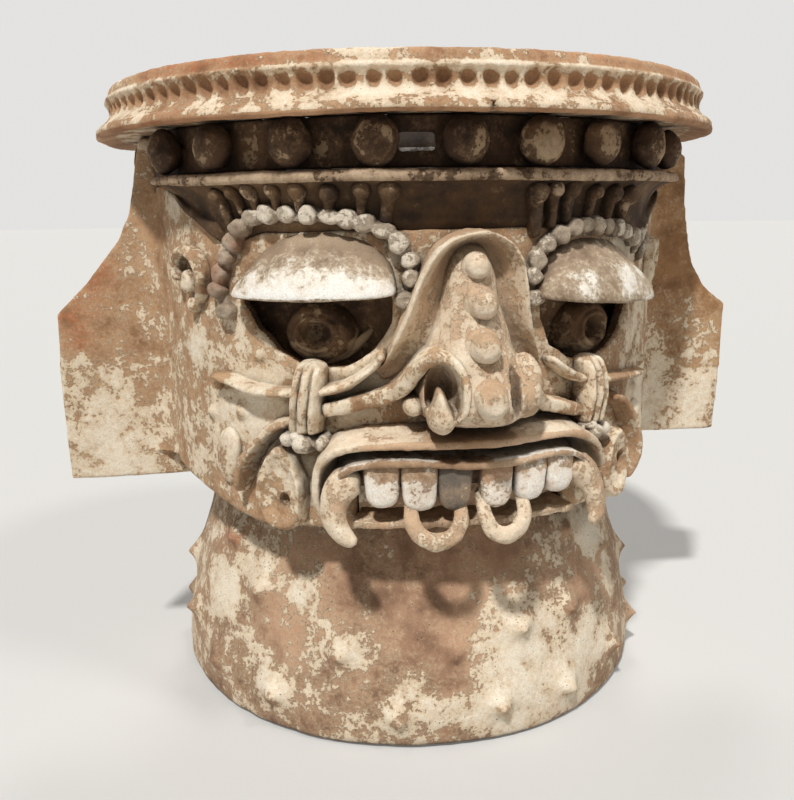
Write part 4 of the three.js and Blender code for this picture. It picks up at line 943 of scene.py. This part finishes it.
# %% Lids
def lid(outer, inner, rise=64, proud=45):
    """Hooded lid between its outer and inner ends, each (angle, height)."""
    hood = through([(-.1, .04), (.5, .03), (.9, -.03), (.985, -.045), (1.02, -.01), (1.02, .07),
                    (.97, .22), (.87, .4), (.72, .57), (.53, .72), (.35, .84), (.2, .93), (.08, 1.04),
                    (-.08, 1.14)], 46)
    u = np.sin(np.linspace(-math.pi / 2, math.pi / 2, 96)) * 0.995
    full = np.where(u < 0, (1 - np.abs(u) ** 1.75) ** 0.62, (1 - np.abs(u) ** 2.7) ** 0.5)
    angle = outer[0] + (inner[0] - outer[0]) * (u + 1) / 2
    low = outer[1] + (inner[1] - outer[1]) * (u + 1) / 2 - 2 * (1 - u**2)
    high, out = rise * full**0.95, (proud - 7) * full**0.7 + 7
    return skin(around(angle[:, None], low[:, None] + hood[None, :, 1] * high[:, None],
                       FACE + 0.3 + hood[None, :, 0] * out[:, None]))


def left_lid_wear(p):
    """White in a band along the lower edge that narrows to both ends; bare above and underneath."""
    low, top, middle, half = 580, 612, -27, 17      # heights of the band, then angles
    aside = np.clip((angle_of(p) - middle) / half, -1, 1)
    band = np.clip((p[:, 2] - low) / ((top - low) * (1 - 0.75 * aside**2)), 0, 2.2)
    return 0.12 + 0.42 * band**1.5 + 0.55 * (p[:, 2] < low - 1.5 + 2.5 * aside)


def right_lid_wear_and_highlight(p):
    """White in three patches on the swell of the lid: partly lime, partly a painted highlight."""
    return 0.8 - 0.42 * near(p, [(31, 588, 402, 19), (37, 600, 395, 13), (21, 588, 400, 18)])


for side, outer, inner, worn in (("left", (-43.6, 577), (-12.2, 582), left_lid_wear),
                                 ("right", (46.6, 561), (13.4, 573), right_lid_wear_and_highlight)):
    make(f"eyelid_{side}", [lid(outer, inner)], lid_lime, cell=1.8, rounds=3,
         rough=((30, 1.0), (12, 0.35), (4, 0.15)), worn=worn)

# %% Eyeballs, ringed and hollow in the middle
EYE_WALL = 306          # radius that the eyeballs stand on
GAZE = [(1, -.2), (1, 0), (.98, .25), (.93, .5), (.82, .76), (.7, .9), (.6, .93), (.53, 1), (.46, 1),
        (.38, .86), (.28, .6), (.16, .46), (0.02, .42)]
broken_piece = roll([(-25, 499, .5, .5), (-22.9, 509, .9, .9), (-21.2, 519, 1.25, 1.1),
                     (-19, 530, 1.1, .95), (-17.3, 541, .6, .6)], 19, 28, kind="blade", base=EYE_WALL - 10)
broken_pale = [(-23.6, 506, 322, 8), (-21.4, 518, 324, 9), (-19.4, 529, 322, 9), (-17.8, 538, 318, 7)]
for side, angle, height, beside in (("left", -28.6, 532, [broken_piece]), ("right", 32.4, 525, [])):
    ball = pat(angle, height, 90, 78, 40, base=EYE_WALL, profile=GAZE, sides=90, rows=60)
    # The eyeballs are smoke-dark clay darkened as painted shade in their sockets, with more bare clay
    # towards the top: painted shade under the lids
    make(f"eyeball_{side}", [ball, *beside], smoke_and_shade_clay,
         rough=((22, 1.4), (7, 0.7), (4, 0.3)),
         worn=lambda p: 0.38 - 0.3 * unevenness(p, 24, 51) + 0.15 * np.clip((p[:, 2] - 530) / 20, -1, 1)
         - 1.2 * near(p, broken_pale))

# %% [markdown]
# A string of pellets, pinched and pressed on one by one, follows each brow. Each keeps its own outline,
# because they were never smoothed together, so they are kneaded in fine cells that only close the seams.

# %% Pellets round the brows
# Angle and height of each pellet
PELLETS = {
    "left": [(-46.7, 556), (-48.7, 581), (-47.7, 601), (-45.8, 620), (-44, 638), (-41.9, 654),
             (-38.9, 666), (-35.5, 669), (-31.8, 669), (-27.6, 668), (-23.7, 666), (-20.6, 663),
             (-17.6, 658), (-14.3, 650), (-11.9, 637), (-9.9, 618), (-9.7, 598), (-10.7, 574)],
    "right": [(13, 573), (12.4, 596), (13.4, 614), (15.3, 631), (18.4, 642), (21.3, 650), (24.2, 652),
              (27.2, 651), (30.4, 650), (33.6, 648), (37, 643), (40, 636)],
}
PELLET_FORM = [(1, -.3), (1, 0), (1.0, .45), (.95, .75), (.8, .94), (.5, 1), (.2, .97), (0.03, .95)]
SMALL_RIDGES = [(43.4, 628), (45.2, 634), (47, 640), (48.6, 628), (46.6, 618)]      # beside the right brow
for side, pellets in PELLETS.items():
    lumps = []
    for k, (angle, height) in enumerate(pellets):
        packed = side == "right" and k > 4
        wide = (19 if packed else 24) + 2.5 * math.sin(5.3 * k + 1)
        tall = 21 + 2.5 * math.sin(3.7 * k)
        corners = [(wide / 2 * math.cos(t) * (1 + 0.1 * math.sin(3 * t + k)),
                    tall / 2 * math.sin(t) * (1 + 0.1 * math.cos(2 * t + 2 * k)))
                   for t in np.linspace(0, 2 * math.pi, 9)[:-1]]
        lumps.append(pat(angle, height, wide, tall, 16 + 1.5 * math.sin(2.9 * k), edge=corners,
                         profile=PELLET_FORM, sides=28, rows=14))
    lumps.append(roll([(angle, height, 1, 1) for angle, height in pellets], 15, 7))
    if side == "right":
        lumps += [pat(angle, height, 7, 34, 9, lean=-32) for angle, height in SMALL_RIDGES]
    make(f"bead_arc_{side}", lumps, bead_clay, cell=1.3, rounds=1,
         rough=((9, 0.7), (4, 0.4)), worn=lambda p: 0.5 + 0.3 * near(p, [(-46, 610, 365, 60)]),
         red=lambda p: 0.55 * near(p, [(-46, 620, 365, 40)]))

# %% Knobbed rays under the shelf
# Angle and height of each knob, angle and height of its rod's lower end, and the knob's width
RAYS = {
    "left": [(-45.8, 690, -44.3, 660, 19), (-42.2, 695, -40.9, 672, 17), (-38.3, 696, -37.8, 674, 20),
             (-33.6, 695, -33.8, 676, 18), (-29.0, 695, -29.2, 675, 21), (-23.4, 691, -24, 672, 21),
             (-17.8, 694, -18.3, 668, 20), (-13.3, 694, -14.1, 662, 25)],
    "right": [(12.5, 690, 13.2, 646, 25), (16.0, 693, 16.4, 656, 20), (19.6, 694, 19.6, 661, 22),
              (25.2, 690, 25, 664, 17), (30.6, 688, 30.2, 662, 19), (35.6, 686, 34.8, 658, 21)],
}
for side, rays in RAYS.items():
    combs = []
    for k, (angle, height, foot_angle, foot, size) in enumerate(rays):
        combs.append(pat(angle, height, size, size + 3, 15, base=FACE + 11, sides=30, rows=16))
        combs.append(roll([(foot_angle, foot - 7, 0.6, 0.6),
                           (0.5 * (angle + foot_angle), 0.5 * (foot + height), 0.8, 0.9),
                           (angle, height, 1.15, 1.2)], size * 0.8, 18))
    # Smoke-dark clay with painted shade, tucked under the shelf
    make(f"ray_fan_{side}", combs, cove_smoke_and_shade_clay, cell=1.5, rounds=2,
         rough=((8, 0.6), (4, 0.35)), worn=lambda p: 0.55 + 0.4 * unevenness(p, 18, 31))

# %% [markdown]
# ## The nose
#
# A long snout rises from between the brows and leans out to a wide muzzle, with a nub on each fold of its
# ridge. The nostrils were scooped out with a thumb, so the scoops are pressed into the finished snout. A
# crested frame arches round its root and slopes in towards it like a trough.

# %% Snout
# Height, then the shares of the snout's half width and of its reach
SNOUT = np.array([(436, .66, .55), (444, .84, .8), (452, .94, .93), (468, 1, 1), (496, .93, .91),
                  (530, .74, .76), (570, .56, .59), (600, .47, .48), (618, .4, .38), (632, .3, .22),
                  (641, .16, .06)])
SNOUT_MIDDLE, SNOUT_HALF, SNOUT_REACH = 0.6, 64, 88
snout_line = through(SNOUT, 110)
across = np.sin(np.linspace(-math.pi / 2, math.pi / 2, 84))
rows = []
for height, half, out in snout_line:
    ridge = 1.7 + 1.3 * np.clip((560 - height) / 80, 0, 1)
    arch = (1 - np.abs(across) ** ridge) ** (0.62 if height < 500 else 0.8)
    angle = SNOUT_MIDDLE + np.degrees(across * half * SNOUT_HALF / FACE)
    top = around(angle, height, FACE + arch * out * SNOUT_REACH)
    rows.append(np.vstack([top, around(angle[-5:4:-6], height, FACE - 4)]))
print("the snout is", round(2 * SNOUT_HALF), "mm wide at the muzzle and stands", SNOUT_REACH, "mm out")

# %% Nostrils scooped into the snout
# Middle of each scoop as angle, height and radius, then half its width, height and depth
NOSTRILS = [(-5.5, 479, 430, 20, 36, 54), (5.0, 482, 440, 7, 42, 24)]


def scoop(place):
    """Presses the nostrils in: points inside a scoop move back to its far side."""
    for angle, height, radius, wide, tall, deep in NOSTRILS:
        level, outward = directions(angle)
        gap = place - around(angle, height, radius)
        side, out, rise = gap @ level / wide, gap @ outward / deep, gap[:, 2] / tall
        room = 1 - side**2 - rise**2
        inside = (room > 0) & (out > -np.sqrt(np.clip(room, 0, 1)))
        back = -np.sqrt(np.clip(room, 0, 1))
        move = np.where(inside, (back - out) * deep, 0)
        keep = FACE + 2 - radius_of(place)
        place = place + np.maximum(move, np.minimum(keep, 0))[:, None] * outward
    return place


snout_points, snout_faces = skin(np.array(rows))
leaf_edge = [(-2, 28), (-9, 12), (-15, -4), (-11, -17), (2, -24), (13, -17), (15, -2), (8, 12)]
leaf = pat(-5.5, 456, 0, 0, 34, base=404, edge=leaf_edge)
flap = roll([(8.2, 518, 0.6, 0.6, 44), (8.1, 500, 1, 1, 52), (7.9, 478, 1.05, 1.05, 58),
             (7.7, 458, 1, 1, 56), (7.2, 445, 0.7, 0.7, 50)], 24, 36, kind="rod")
make("nose", [(scoop(snout_points), snout_faces), leaf, flap], nose_clay, cell=1.8,
     rounds=4, rough=((26, 1.6), (9, 0.6), (4, 0.25)),
     worn=lambda p: 0.4 + 0.2 * near(p, [(-3, 600, 400, 34), (-6, 560, 390, 30), (-6, 490, 390, 26)]))

# %% Nubs of the ridge, and the balls beside the nostrils
NUBS = [(611, 27, 16), (572, 32, 24), (528, 34, 25), (474, 36, 25)]        # height, width, how proud
NUB_FORM = [(1.22, -.25), (1.12, 0), (1, .16), (.93, .45), (.78, .75), (.5, .94), (.2, 1), (.02, 1)]
for k, (height, size, proud) in enumerate(NUBS):
    reach = np.interp(height, snout_line[:, 0], snout_line[:, 2]) * SNOUT_REACH
    nub = pat(SNOUT_MIDDLE + 0.3 * (k % 2), height, size, size * 1.04, proud, base=FACE + reach - 4,
              profile=NUB_FORM)
    make(f"nose_nub_{k + 1}", [nub], nose_clay, rough=((12, 0.9), (5, 0.4)),
         worn=lambda p, height=height: 0.3 + 0.3 * np.clip((p[:, 2] - height) / 12, -0.4, 1))
for side, angle, size in (("left", -9.5, 27), ("right", 10.9, 26)):
    make(f"nostril_ball_{side}", [pat(angle, 459, size, size * 1.12, 41, sides=40)], nose_clay,
         rough=((11, 0.9), (5, 0.4)), worn=lambda p: 0.4 + 0.5 * (radius_of(p) < 385))

# %% Crested frame round the root of the nose
frame_line = [(-15.6, 490, .35, .2), (-13.2, 500, .6, .5), (-10.4, 522, .9, .74), (-7.8, 553, 1.03, .9),
              (-5.9, 586, 1.05, .97), (-4.5, 609, .95, 1), (-2.4, 626, .88, 1), (1.3, 633, .85, 1),
              (4.3, 627, .88, 1), (5.9, 609, .97, 1), (6.5, 586, 1.04, .97), (7.0, 558, 1.05, .9),
              (8.8, 529, .9, .78), (11.8, 502, .6, .55), (14, 486, .35, .2)]
# More bare clay down in the trough than on the crest: darker brown, partly painted shade
make("nose_frame", [roll(frame_line, 38, 39, kind="crest", step=1.5, blunt=(0, 0))],
     nose_clay, cell=1.7, rounds=4, rough=((22, 1.1), (8, 0.6), (4, 0.25)),
     worn=lambda p: 0.5 + 0.22 * np.clip((385 - radius_of(p)) / 14, -0.8, 1))

# %% [markdown]
# ## Whiskers, goggles and ties
#
# The moustache springs over each nostril and runs out flat to the cheek. Under each eye a thin bar is the
# goggle, tied down by a band of three strands that ends in a lumpy knot. Each is a roll through stations
# that give its path, its width and how proud it stands, which says all that the maker's fingers decided.

# %% Moustache
left_line = [(-26, 447, .85, .32), (-21.5, 455, 1, .4), (-16.8, 463, 1.05, .46), (-13.2, 472, 1.05, .56),
             (-10.9, 485, 1.05, .74), (-9.2, 500, 1, .9), (-7.6, 512, .95, 1.02), (-5.6, 518, .85, 1.14),
             (-3.7, 512, .7, 1.3), (-2.6, 498, .6, 1.44), (-2.3, 480, .5, 1.5), (-2.6, 462, .5, 1.5),
             (-3.8, 449, .4, 1.38)]
right_line = [(25, 430, .85, .32), (21, 438, 1, .38), (17, 445, 1.05, .44), (13.8, 452, 1, .55),
              (11.6, 466, .9, .68), (10.4, 488, .8, .8)]
make("moustache_left", [roll(left_line, 17.5, 58, kind="flat")], tan_clay, cell=1.6,
     rounds=4, rough=((22, 1.3), (8, 0.6), (4, 0.25)),
     worn=lambda p: 0.58 - 0.25 * np.clip(unevenness(p, 24, 41) + 0.3, 0, 1))
make("moustache_right", [roll(right_line, 17, 58, kind="flat")], tan_clay, cell=1.6,
     rounds=4, rough=((22, 1.2), (8, 0.6), (4, 0.25)), worn=0.42)

# %% Goggle bars
left_line = [(-50.8, 472, .35, .7), (-49.4, 476, .7, .8), (-46, 474, .95, .9), (-41, 467, 1.05, 1),
             (-36, 465, 1, 1), (-31, 467, 1, 1), (-24.6, 472, 1.05, 1.05), (-20.6, 481, 1, 1.1),
             (-17.2, 496, .9, 1.05), (-15.2, 509, .7, 1)]
right_line = [(49, 459, .4, .5), (45.6, 459, .8, .75), (41, 461, .9, .8), (35, 464, .9, .85),
              (27, 468, .95, .95), (22, 477, 1, 1), (17.8, 493, .9, 1.05), (16, 503, .7, .9)]
left_ends = [pat(-15, 512, 12, 12, 27), pat(-50.4, 466, 9, 20, 12, lean=-20)]
make("goggle_bar_left", [roll(left_line, 12, 25), *left_ends], tan_clay, cell=1.5, rounds=3,
     rough=((18, 1.1), (7, 0.5), (3, 0.2)), worn=lambda p: 0.52 + 0.3 * near(p, [(-49, 474, 375, 14)]))
make("goggle_bar_right", [roll(right_line, 12, 24)], tan_clay, cell=1.5, rounds=3,
     rough=((18, 1.1), (7, 0.5), (3, 0.2)), worn=0.48)

# %% Ties and their knots
TIES = {"left": [(-27.6, 505, .9, .5), (-27.9, 490, .95, .82), (-28.2, 470, 1, .96),
                 (-28.7, 448, 1.03, .95), (-29.2, 428, 1.08, .8), (-29.3, 417, 1.1, .72)],
        "right": [(26.2, 499, .84, .5), (26.3, 484, .9, .8), (26.3, 462, .94, .94), (26.2, 440, .96, .88),
                  (26.1, 422, 1, .76), (26.1, 414, 1.03, .7)]}
for side, stations in TIES.items():
    make(f"strap_{side}", [roll(stations, 36, 36, kind="strands", step=1.4, blunt=(0.4, 0.4))],
         tan_clay, rough=((16, 0.9), (6, 0.45), (3, 0.2)), worn=0.4)
    angle, height = stations[-1][:2]
    knot = [pat(angle, height - 9, 30, 25, 33, sides=40), pat(angle - 3.4, height - 6, 19, 20, 26),
            pat(angle + 3.4, height - 8, 18, 21, 28), pat(angle - 1, height + 1, 22, 14, 30)]
    make(f"strap_knot_{side}", knot, bead_clay, cell=1.5, rounds=3,
         rough=((8, 1.1), (4, 0.45)), worn=0.35)

# %% [markdown]
# ## The mouth
#
# Two lips stand out like narrow shelves: their upper faces slope and are given white lime, and their cut
# fronts are bare clay. The lime is partly real and partly painted light on the lit tops, and the bare
# fronts are partly painted shade. Under them hang six flat teeth with rounded corners, whose upper parts
# under the lip are given bare clay as a painted shadow, a fang at each end that swells at the root and
# hooks in, and the split tongue's two broad loops. The lips are rolls with a lip's section, the teeth are
# pats with a tooth's outline, and fangs and loops are rods lifted clear of the face.

# %% Lips
outer_line = [(-25.4, 322, .7, .55), (-26.2, 345, .95, .7), (-26.2, 368, 1, .78), (-25.4, 388, 1, .84),
              (-23, 405, 1, .9), (-19, 413.5, 1, .94), (-14, 416.5, 1, .97), (-7, 417.5, 1, 1),
              (0, 417, 1, 1), (6, 417, 1, 1), (12, 419, 1, .98), (17, 418, 1, .95),
              (21.6, 409, 1, .92), (24.6, 393, 1, .86), (26.6, 372, .9, .74), (27, 360, .7, .6)]
# Lime on the sloping top and bare clay on the cut front: partly real, partly painted light and painted
# shade
make("outer_lip", [roll(outer_line, 17, 50, kind="lip", step=1.5)],
     nose_clay, cell=1.6, rounds=3, rough=((26, 1.0), (9, 0.6), (4, 0.25)),
     worn=lambda p: 0.22 + 0.6 * np.clip((radius_of(p) - 403.5) / 2, 0, 1)
     + 0.5 * near(p, [(-4, 424, 395, 26), (5, 424, 395, 30)]))
inner_line = [(-22.6, 364, .8, .86), (-21.6, 380, .9, .92), (-19, 391, 1, .92), (-14.5, 396, 1, .94),
              (-9, 396.5, 1, .96), (-4, 393, 1, .96), (0, 391, 1, .96), (4, 391.5, 1, .96),
              (8, 393, 1, .96), (13, 396.5, 1, .94), (17.6, 394, 1, .92), (20.6, 384, .9, .92),
              (22.6, 368, .8, .86)]
# Lime on the sloping top and bare clay on the cut front: partly real, partly painted light and painted
# shade
make("inner_lip", [roll(inner_line, 15, 50, kind="lip", step=1.5)],
     tooth_lime, cell=1.6, rounds=3, rough=((26, 1.0), (9, 0.6), (4, 0.25)),
     worn=lambda p: 0.36 + 0.6 * np.clip((radius_of(p) - 403) / 2, 0, 1)
     + 0.6 * near(p, [(0.5, 396, 400, 20), (-4, 398, 400, 12)]))

# %% Teeth
TOOTH_TOP, TOOTH_BASE = 396, 391        # height, and radius of their backs
TEETH = [(-14.9, 40, 341, 0.3), (-8.7, 41, 338, 0.32), (-2.8, 38, 337, 0.7), (4.3, 38, 337, 0.62),
         (10.4, 40, 341, 0.35), (16.2, 38, 345, 0.3)]           # angle, width, lower end, wear
TOOTH_FORM = [(.9, -1), (.98, -.8), (1, -.35), (.99, .15), (.94, .5), (.84, .78), (.66, .93), (.4, .99),
              (.03, 1)]
for k, (angle, wide, low, bare) in enumerate(TEETH):
    tall, half = TOOTH_TOP - low, wide / 2
    side = [(half, tall / 2), (half * 1.01, 0), (half * 0.95, -tall * 0.24), (half * 0.7, -tall * 0.42),
            (half * 0.25, -tall / 2)]
    edge = [(-x, z) for x, z in side] + side[::-1] + [(0, tall / 2 + 1)]
    tooth = pat(angle, (low + TOOTH_TOP) / 2, 0, 0, 10, base=TOOTH_BASE, edge=edge, profile=TOOTH_FORM,
                sides=72, rows=30, lean=1.5 * math.sin(3 * k))
    # The upper part of each tooth, under the lip's edge, is given bare clay: a painted shadow
    make(f"tooth_{k + 1}", [tooth], grey_tooth if k == 2 else tooth_lime,
         rough=((16, 0.7), (6, 0.3), (3, 0.12)), red=0.4 * (k == 3),
         worn=lambda p, bare=bare: bare + 0.4 * np.clip((p[:, 2] - 368) / 12, 0, 1))

# %% Fangs
left_line = [(-18.6, 380, .8, .7, 28), (-20.2, 374, 1.05, .85, 32), (-22, 362, 1.02, .95, 35),
             (-22.9, 347, .86, .85, 38), (-22.9, 331, .76, .76, 41), (-22, 318, .68, .68, 44),
             (-20.6, 308, .56, .56, 46), (-19.1, 302, .4, .42, 48)]
right_line = [(18.4, 384, .7, .6, 28), (19.8, 377, .95, .8, 32), (21.8, 364, .95, .9, 35),
              (23.2, 349, .82, .8, 38), (23.9, 334, .72, .72, 41), (24, 321, .64, .64, 44),
              (23.4, 309, .52, .52, 46), (22.4, 301, .38, .4, 48)]
make("fang_left", [roll(left_line, 35, 32, kind="rod", step=1.5)], nose_clay,
     rough=((22, 1.1), (8, 0.5), (3, 0.2)), red=0.12,
     worn=lambda p: 0.32 + 0.3 * near(p, [(-22, 345, 402, 16)]))
make("fang_right", [roll(right_line, 35, 31, kind="rod", step=1.5)], nose_clay,
     rough=((20, 1.6), (7, 0.8), (3, 0.3)), worn=0.36, red=0.12)

# %% Loops of the split tongue
LOOP_OUT = 50           # mm that their tips stand out from the face
for side, middle, low, bottom, spread in (("left", -6.0, 304, 1.3, 1.0), ("right", 5.5, 306, 1.2, 0.84)):
    half = [(3.9, 52, .7, .7, -30), (4.2, 38, .85, .8, -17), (4.0, 22, .95, .85, -7), (2.5, 7, 1.1, .9, -3)]
    loop = [(-aside, *rest) for aside, *rest in half] + [(0, 1, bottom, .95, -1)] + half[::-1]
    line = [(middle + a * spread, low + z, w, t, LOOP_OUT + back) for a, z, w, t, back in loop]
    make(f"tongue_ring_{side}", [roll(line, 17, 16, kind="rod", step=1.4)],
         nose_clay, rough=((14, 1.2), (6, 0.6), (3, 0.25)), worn=0.45)

# %% [markdown]
# ## Cheeks
#
# Beside the mouth hang dished ear discs with a small pit, held by flat curling bands set on edge. Behind
# them lies a low oval plaque, and beside each eye a small hooked ear. A disc is a pat whose profile dips
# in the middle; its pit is pressed in afterwards, as it was on the clay.

# %% Ear discs
PIT_RADIUS, PIT_DEEP = 9, 11
left_edge = [(0, 55), (-14, 46), (-27, 24), (-33, -4), (-30, -30), (-18, -48), (2, -52), (20, -42),
             (27, -20), (26, 8), (20, 32), (11, 48)]
right_edge = [(0, 48), (-13, 38), (-22, 16), (-24, -10), (-18, -34), (0, -46), (18, -34), (25, -8),
              (22, 18), (12, 40)]
for side, angle, height, edge, pit in (("left", -34.2, 349, left_edge, (5, -14)),
                                       ("right", 34, 353, right_edge, (8, 6))):
    pit_place = around(angle + math.degrees(pit[0] / FACE), height + pit[1], FACE + 20)

    def dish(place, pit_place=pit_place):
        """Presses the small pit in."""
        gap = np.linalg.norm((place - pit_place) * np.array([1.2, 1.0, 0.8]), axis=1)
        depth = PIT_DEEP * np.clip(1 - (gap / PIT_RADIUS) ** 2, 0, 1)
        way = place[:, :2] / radius_of(place)[:, None]
        return np.column_stack([place[:, :2] - way * depth[:, None], place[:, 2]])

    disc = pat(angle, height, 0, 0, 24, base=FACE + 1, edge=edge, profile=DISH, sides=120, rows=60)
    make(f"ear_disc_{side}", [disc], tan_clay, shape=dish,
         rough=((20, 1.8), (8, 0.9), (4, 0.35)), worn=0.44)

# %% Curling bands
CURLS = {"left": (0.5, [(-31.8, 431, .7, .6), (-35.1, 424, .9, .85), (-38.1, 409, 1, 1),
                        (-40.6, 391, 1, 1.05), (-42.8, 369, 1, 1.05), (-44.2, 348, .9, .9),
                        (-44.8, 333, .6, .7)]),
         "right": (0.6, [(34, 441, .7, .55), (37.2, 432, .9, .8), (39.8, 413, 1, .95),
                         (42.2, 386, 1, 1.05), (42.9, 360, 1, 1.05), (42, 338, .9, .9),
                         (40.2, 322, .6, .7)])}         # wear, and stations
for side, (bare, stations) in CURLS.items():
    make(f"cheek_curl_{side}", [roll(stations, 19, 26, kind="blade")], tan_clay, cell=1.6,
         rounds=3, rough=((20, 1.1), (8, 0.6), (4, 0.25)), worn=bare)

# %% Plaques and hooked ears
HOOK = [(55.8, 563, .8, .5), (53.6, 580, .95, .8), (53.2, 600, .95, .9), (54.8, 618, 1, 1),
        (58, 626, 1, 1), (61, 619, .95, 1), (62.2, 603, .9, .95), (61.2, 588, .8, .85)]
for side, angle, height, lean in (("left", -48.8, 374, -8), ("right", 48.4, 384, 8)):
    plaque = pat(angle, height, 42, 74, 11, lean=lean, sides=56, rows=26)
    make(f"cheek_plaque_{side}", [plaque], tan_clay, rough=((18, 1.0), (6, 0.4)), worn=0.25)
for side, hand, rolled, lobed, pegged in (("left", -1, 20, 17, 13), ("right", 1, 12, 9, 8)):    # mm proud
    hook = roll([(hand * angle, *rest) for angle, *rest in HOOK], 14, rolled)
    lobe = pat(hand * 57.6, 588, 30, 34, lobed, sides=36)
    peg = pat(hand * 57.2, 560, 15, 22, pegged, sides=28)
    make(f"ear_hook_{side}", [hook, lobe, peg], tan_clay, cell=1.6, rounds=4,
         rough=((12, 1.0), (5, 0.45)), worn=0.34)

# %% [markdown]
# ## Floor and light
#
# A plain pale floor takes the shadow. The light is a soft key from above and to the left, a weaker one from
# the right, and one from behind so that the back is lit too. A sun lamp gives the same level everywhere: a
# strength of pi renders a white wall that faces it as white.

# %% Floor
def seen_itself(tree):
    """1 where the camera sees a thing, straight or mirrored, and 0 where it only lights others."""
    ray = add_node(tree, "ShaderNodeLightPath").outputs
    seen = ray["Is Camera Ray"]
    for label in ("Is Glossy Ray", "Is Transmission Ray"):
        seen = add_node(tree, "ShaderNodeMath", {0: seen, 1: ray[label]}, operation="MAXIMUM").outputs[0]
    return seen


floor_finish = bpy.data.materials.new("pale_floor")
floor_finish.use_nodes = True
tree = floor_finish.node_tree
glow = add_node(tree, "ShaderNodeMath", {0: seen_itself(tree), 1: 0.14}, operation="MULTIPLY").outputs[0]
pale = tree.nodes["Principled BSDF"]
pale.inputs["Base Color"].default_value = linear("#c2c0bc")
pale.inputs["Roughness"].default_value = 0.9
pale.inputs["Specular IOR Level"].default_value = 0.1
pale.inputs["Emission Color"].default_value = linear("#f2f1ee")
tree.links.new(glow, pale.inputs["Emission Strength"])
bpy.ops.mesh.primitive_circle_add(vertices=96, radius=40, fill_type="NGON", location=(0, 0, -0.0006))
floor = bpy.context.object
floor.name = "floor"
floor.data.materials.append(floor_finish)
floor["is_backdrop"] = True
print("floor:", floor_finish.name)

# %% Lamps and surroundings
# Azimuth and elevation in degrees, strength, and how many degrees wide the lamp looks
LAMPS = [("key", -27, 55, 3.0, 4), ("right_fill", 46, 54, 0.6, 8), ("back", 165, 50, 0.7, 16)]
for name, azimuth, elevation, strength, spread in LAMPS:
    lamp = bpy.data.lights.new(name, "SUN")
    lamp.energy, lamp.angle = strength, math.radians(spread)
    stand = bpy.data.objects.new(name, lamp)
    bpy.context.scene.collection.objects.link(stand)
    a, e = math.radians(azimuth), math.radians(elevation)
    stand.rotation_euler = Vector((math.sin(a) * math.cos(e), -math.cos(a) * math.cos(e),
                                   math.sin(e))).to_track_quat("Z", "Y").to_euler()
    print("lamp", name, strength)
world = bpy.data.worlds.new("studio")
bpy.context.scene.world = world
world.use_nodes = True
tree = world.node_tree
level = add_node(tree, "ShaderNodeMapRange", {
    "Value": seen_itself(tree), "To Min": 0.15, "To Max": 0.8}).outputs[0]
backing = tree.nodes["Background"]
backing.inputs["Color"].default_value = linear("#fbfaf8")
tree.links.new(level, backing.inputs["Strength"])
bpy.context.scene.view_settings.view_transform = "Standard"

# %% Size of the finished pot
low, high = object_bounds()
print("visual box", [round(v, 4) for v in (*low, *high)])
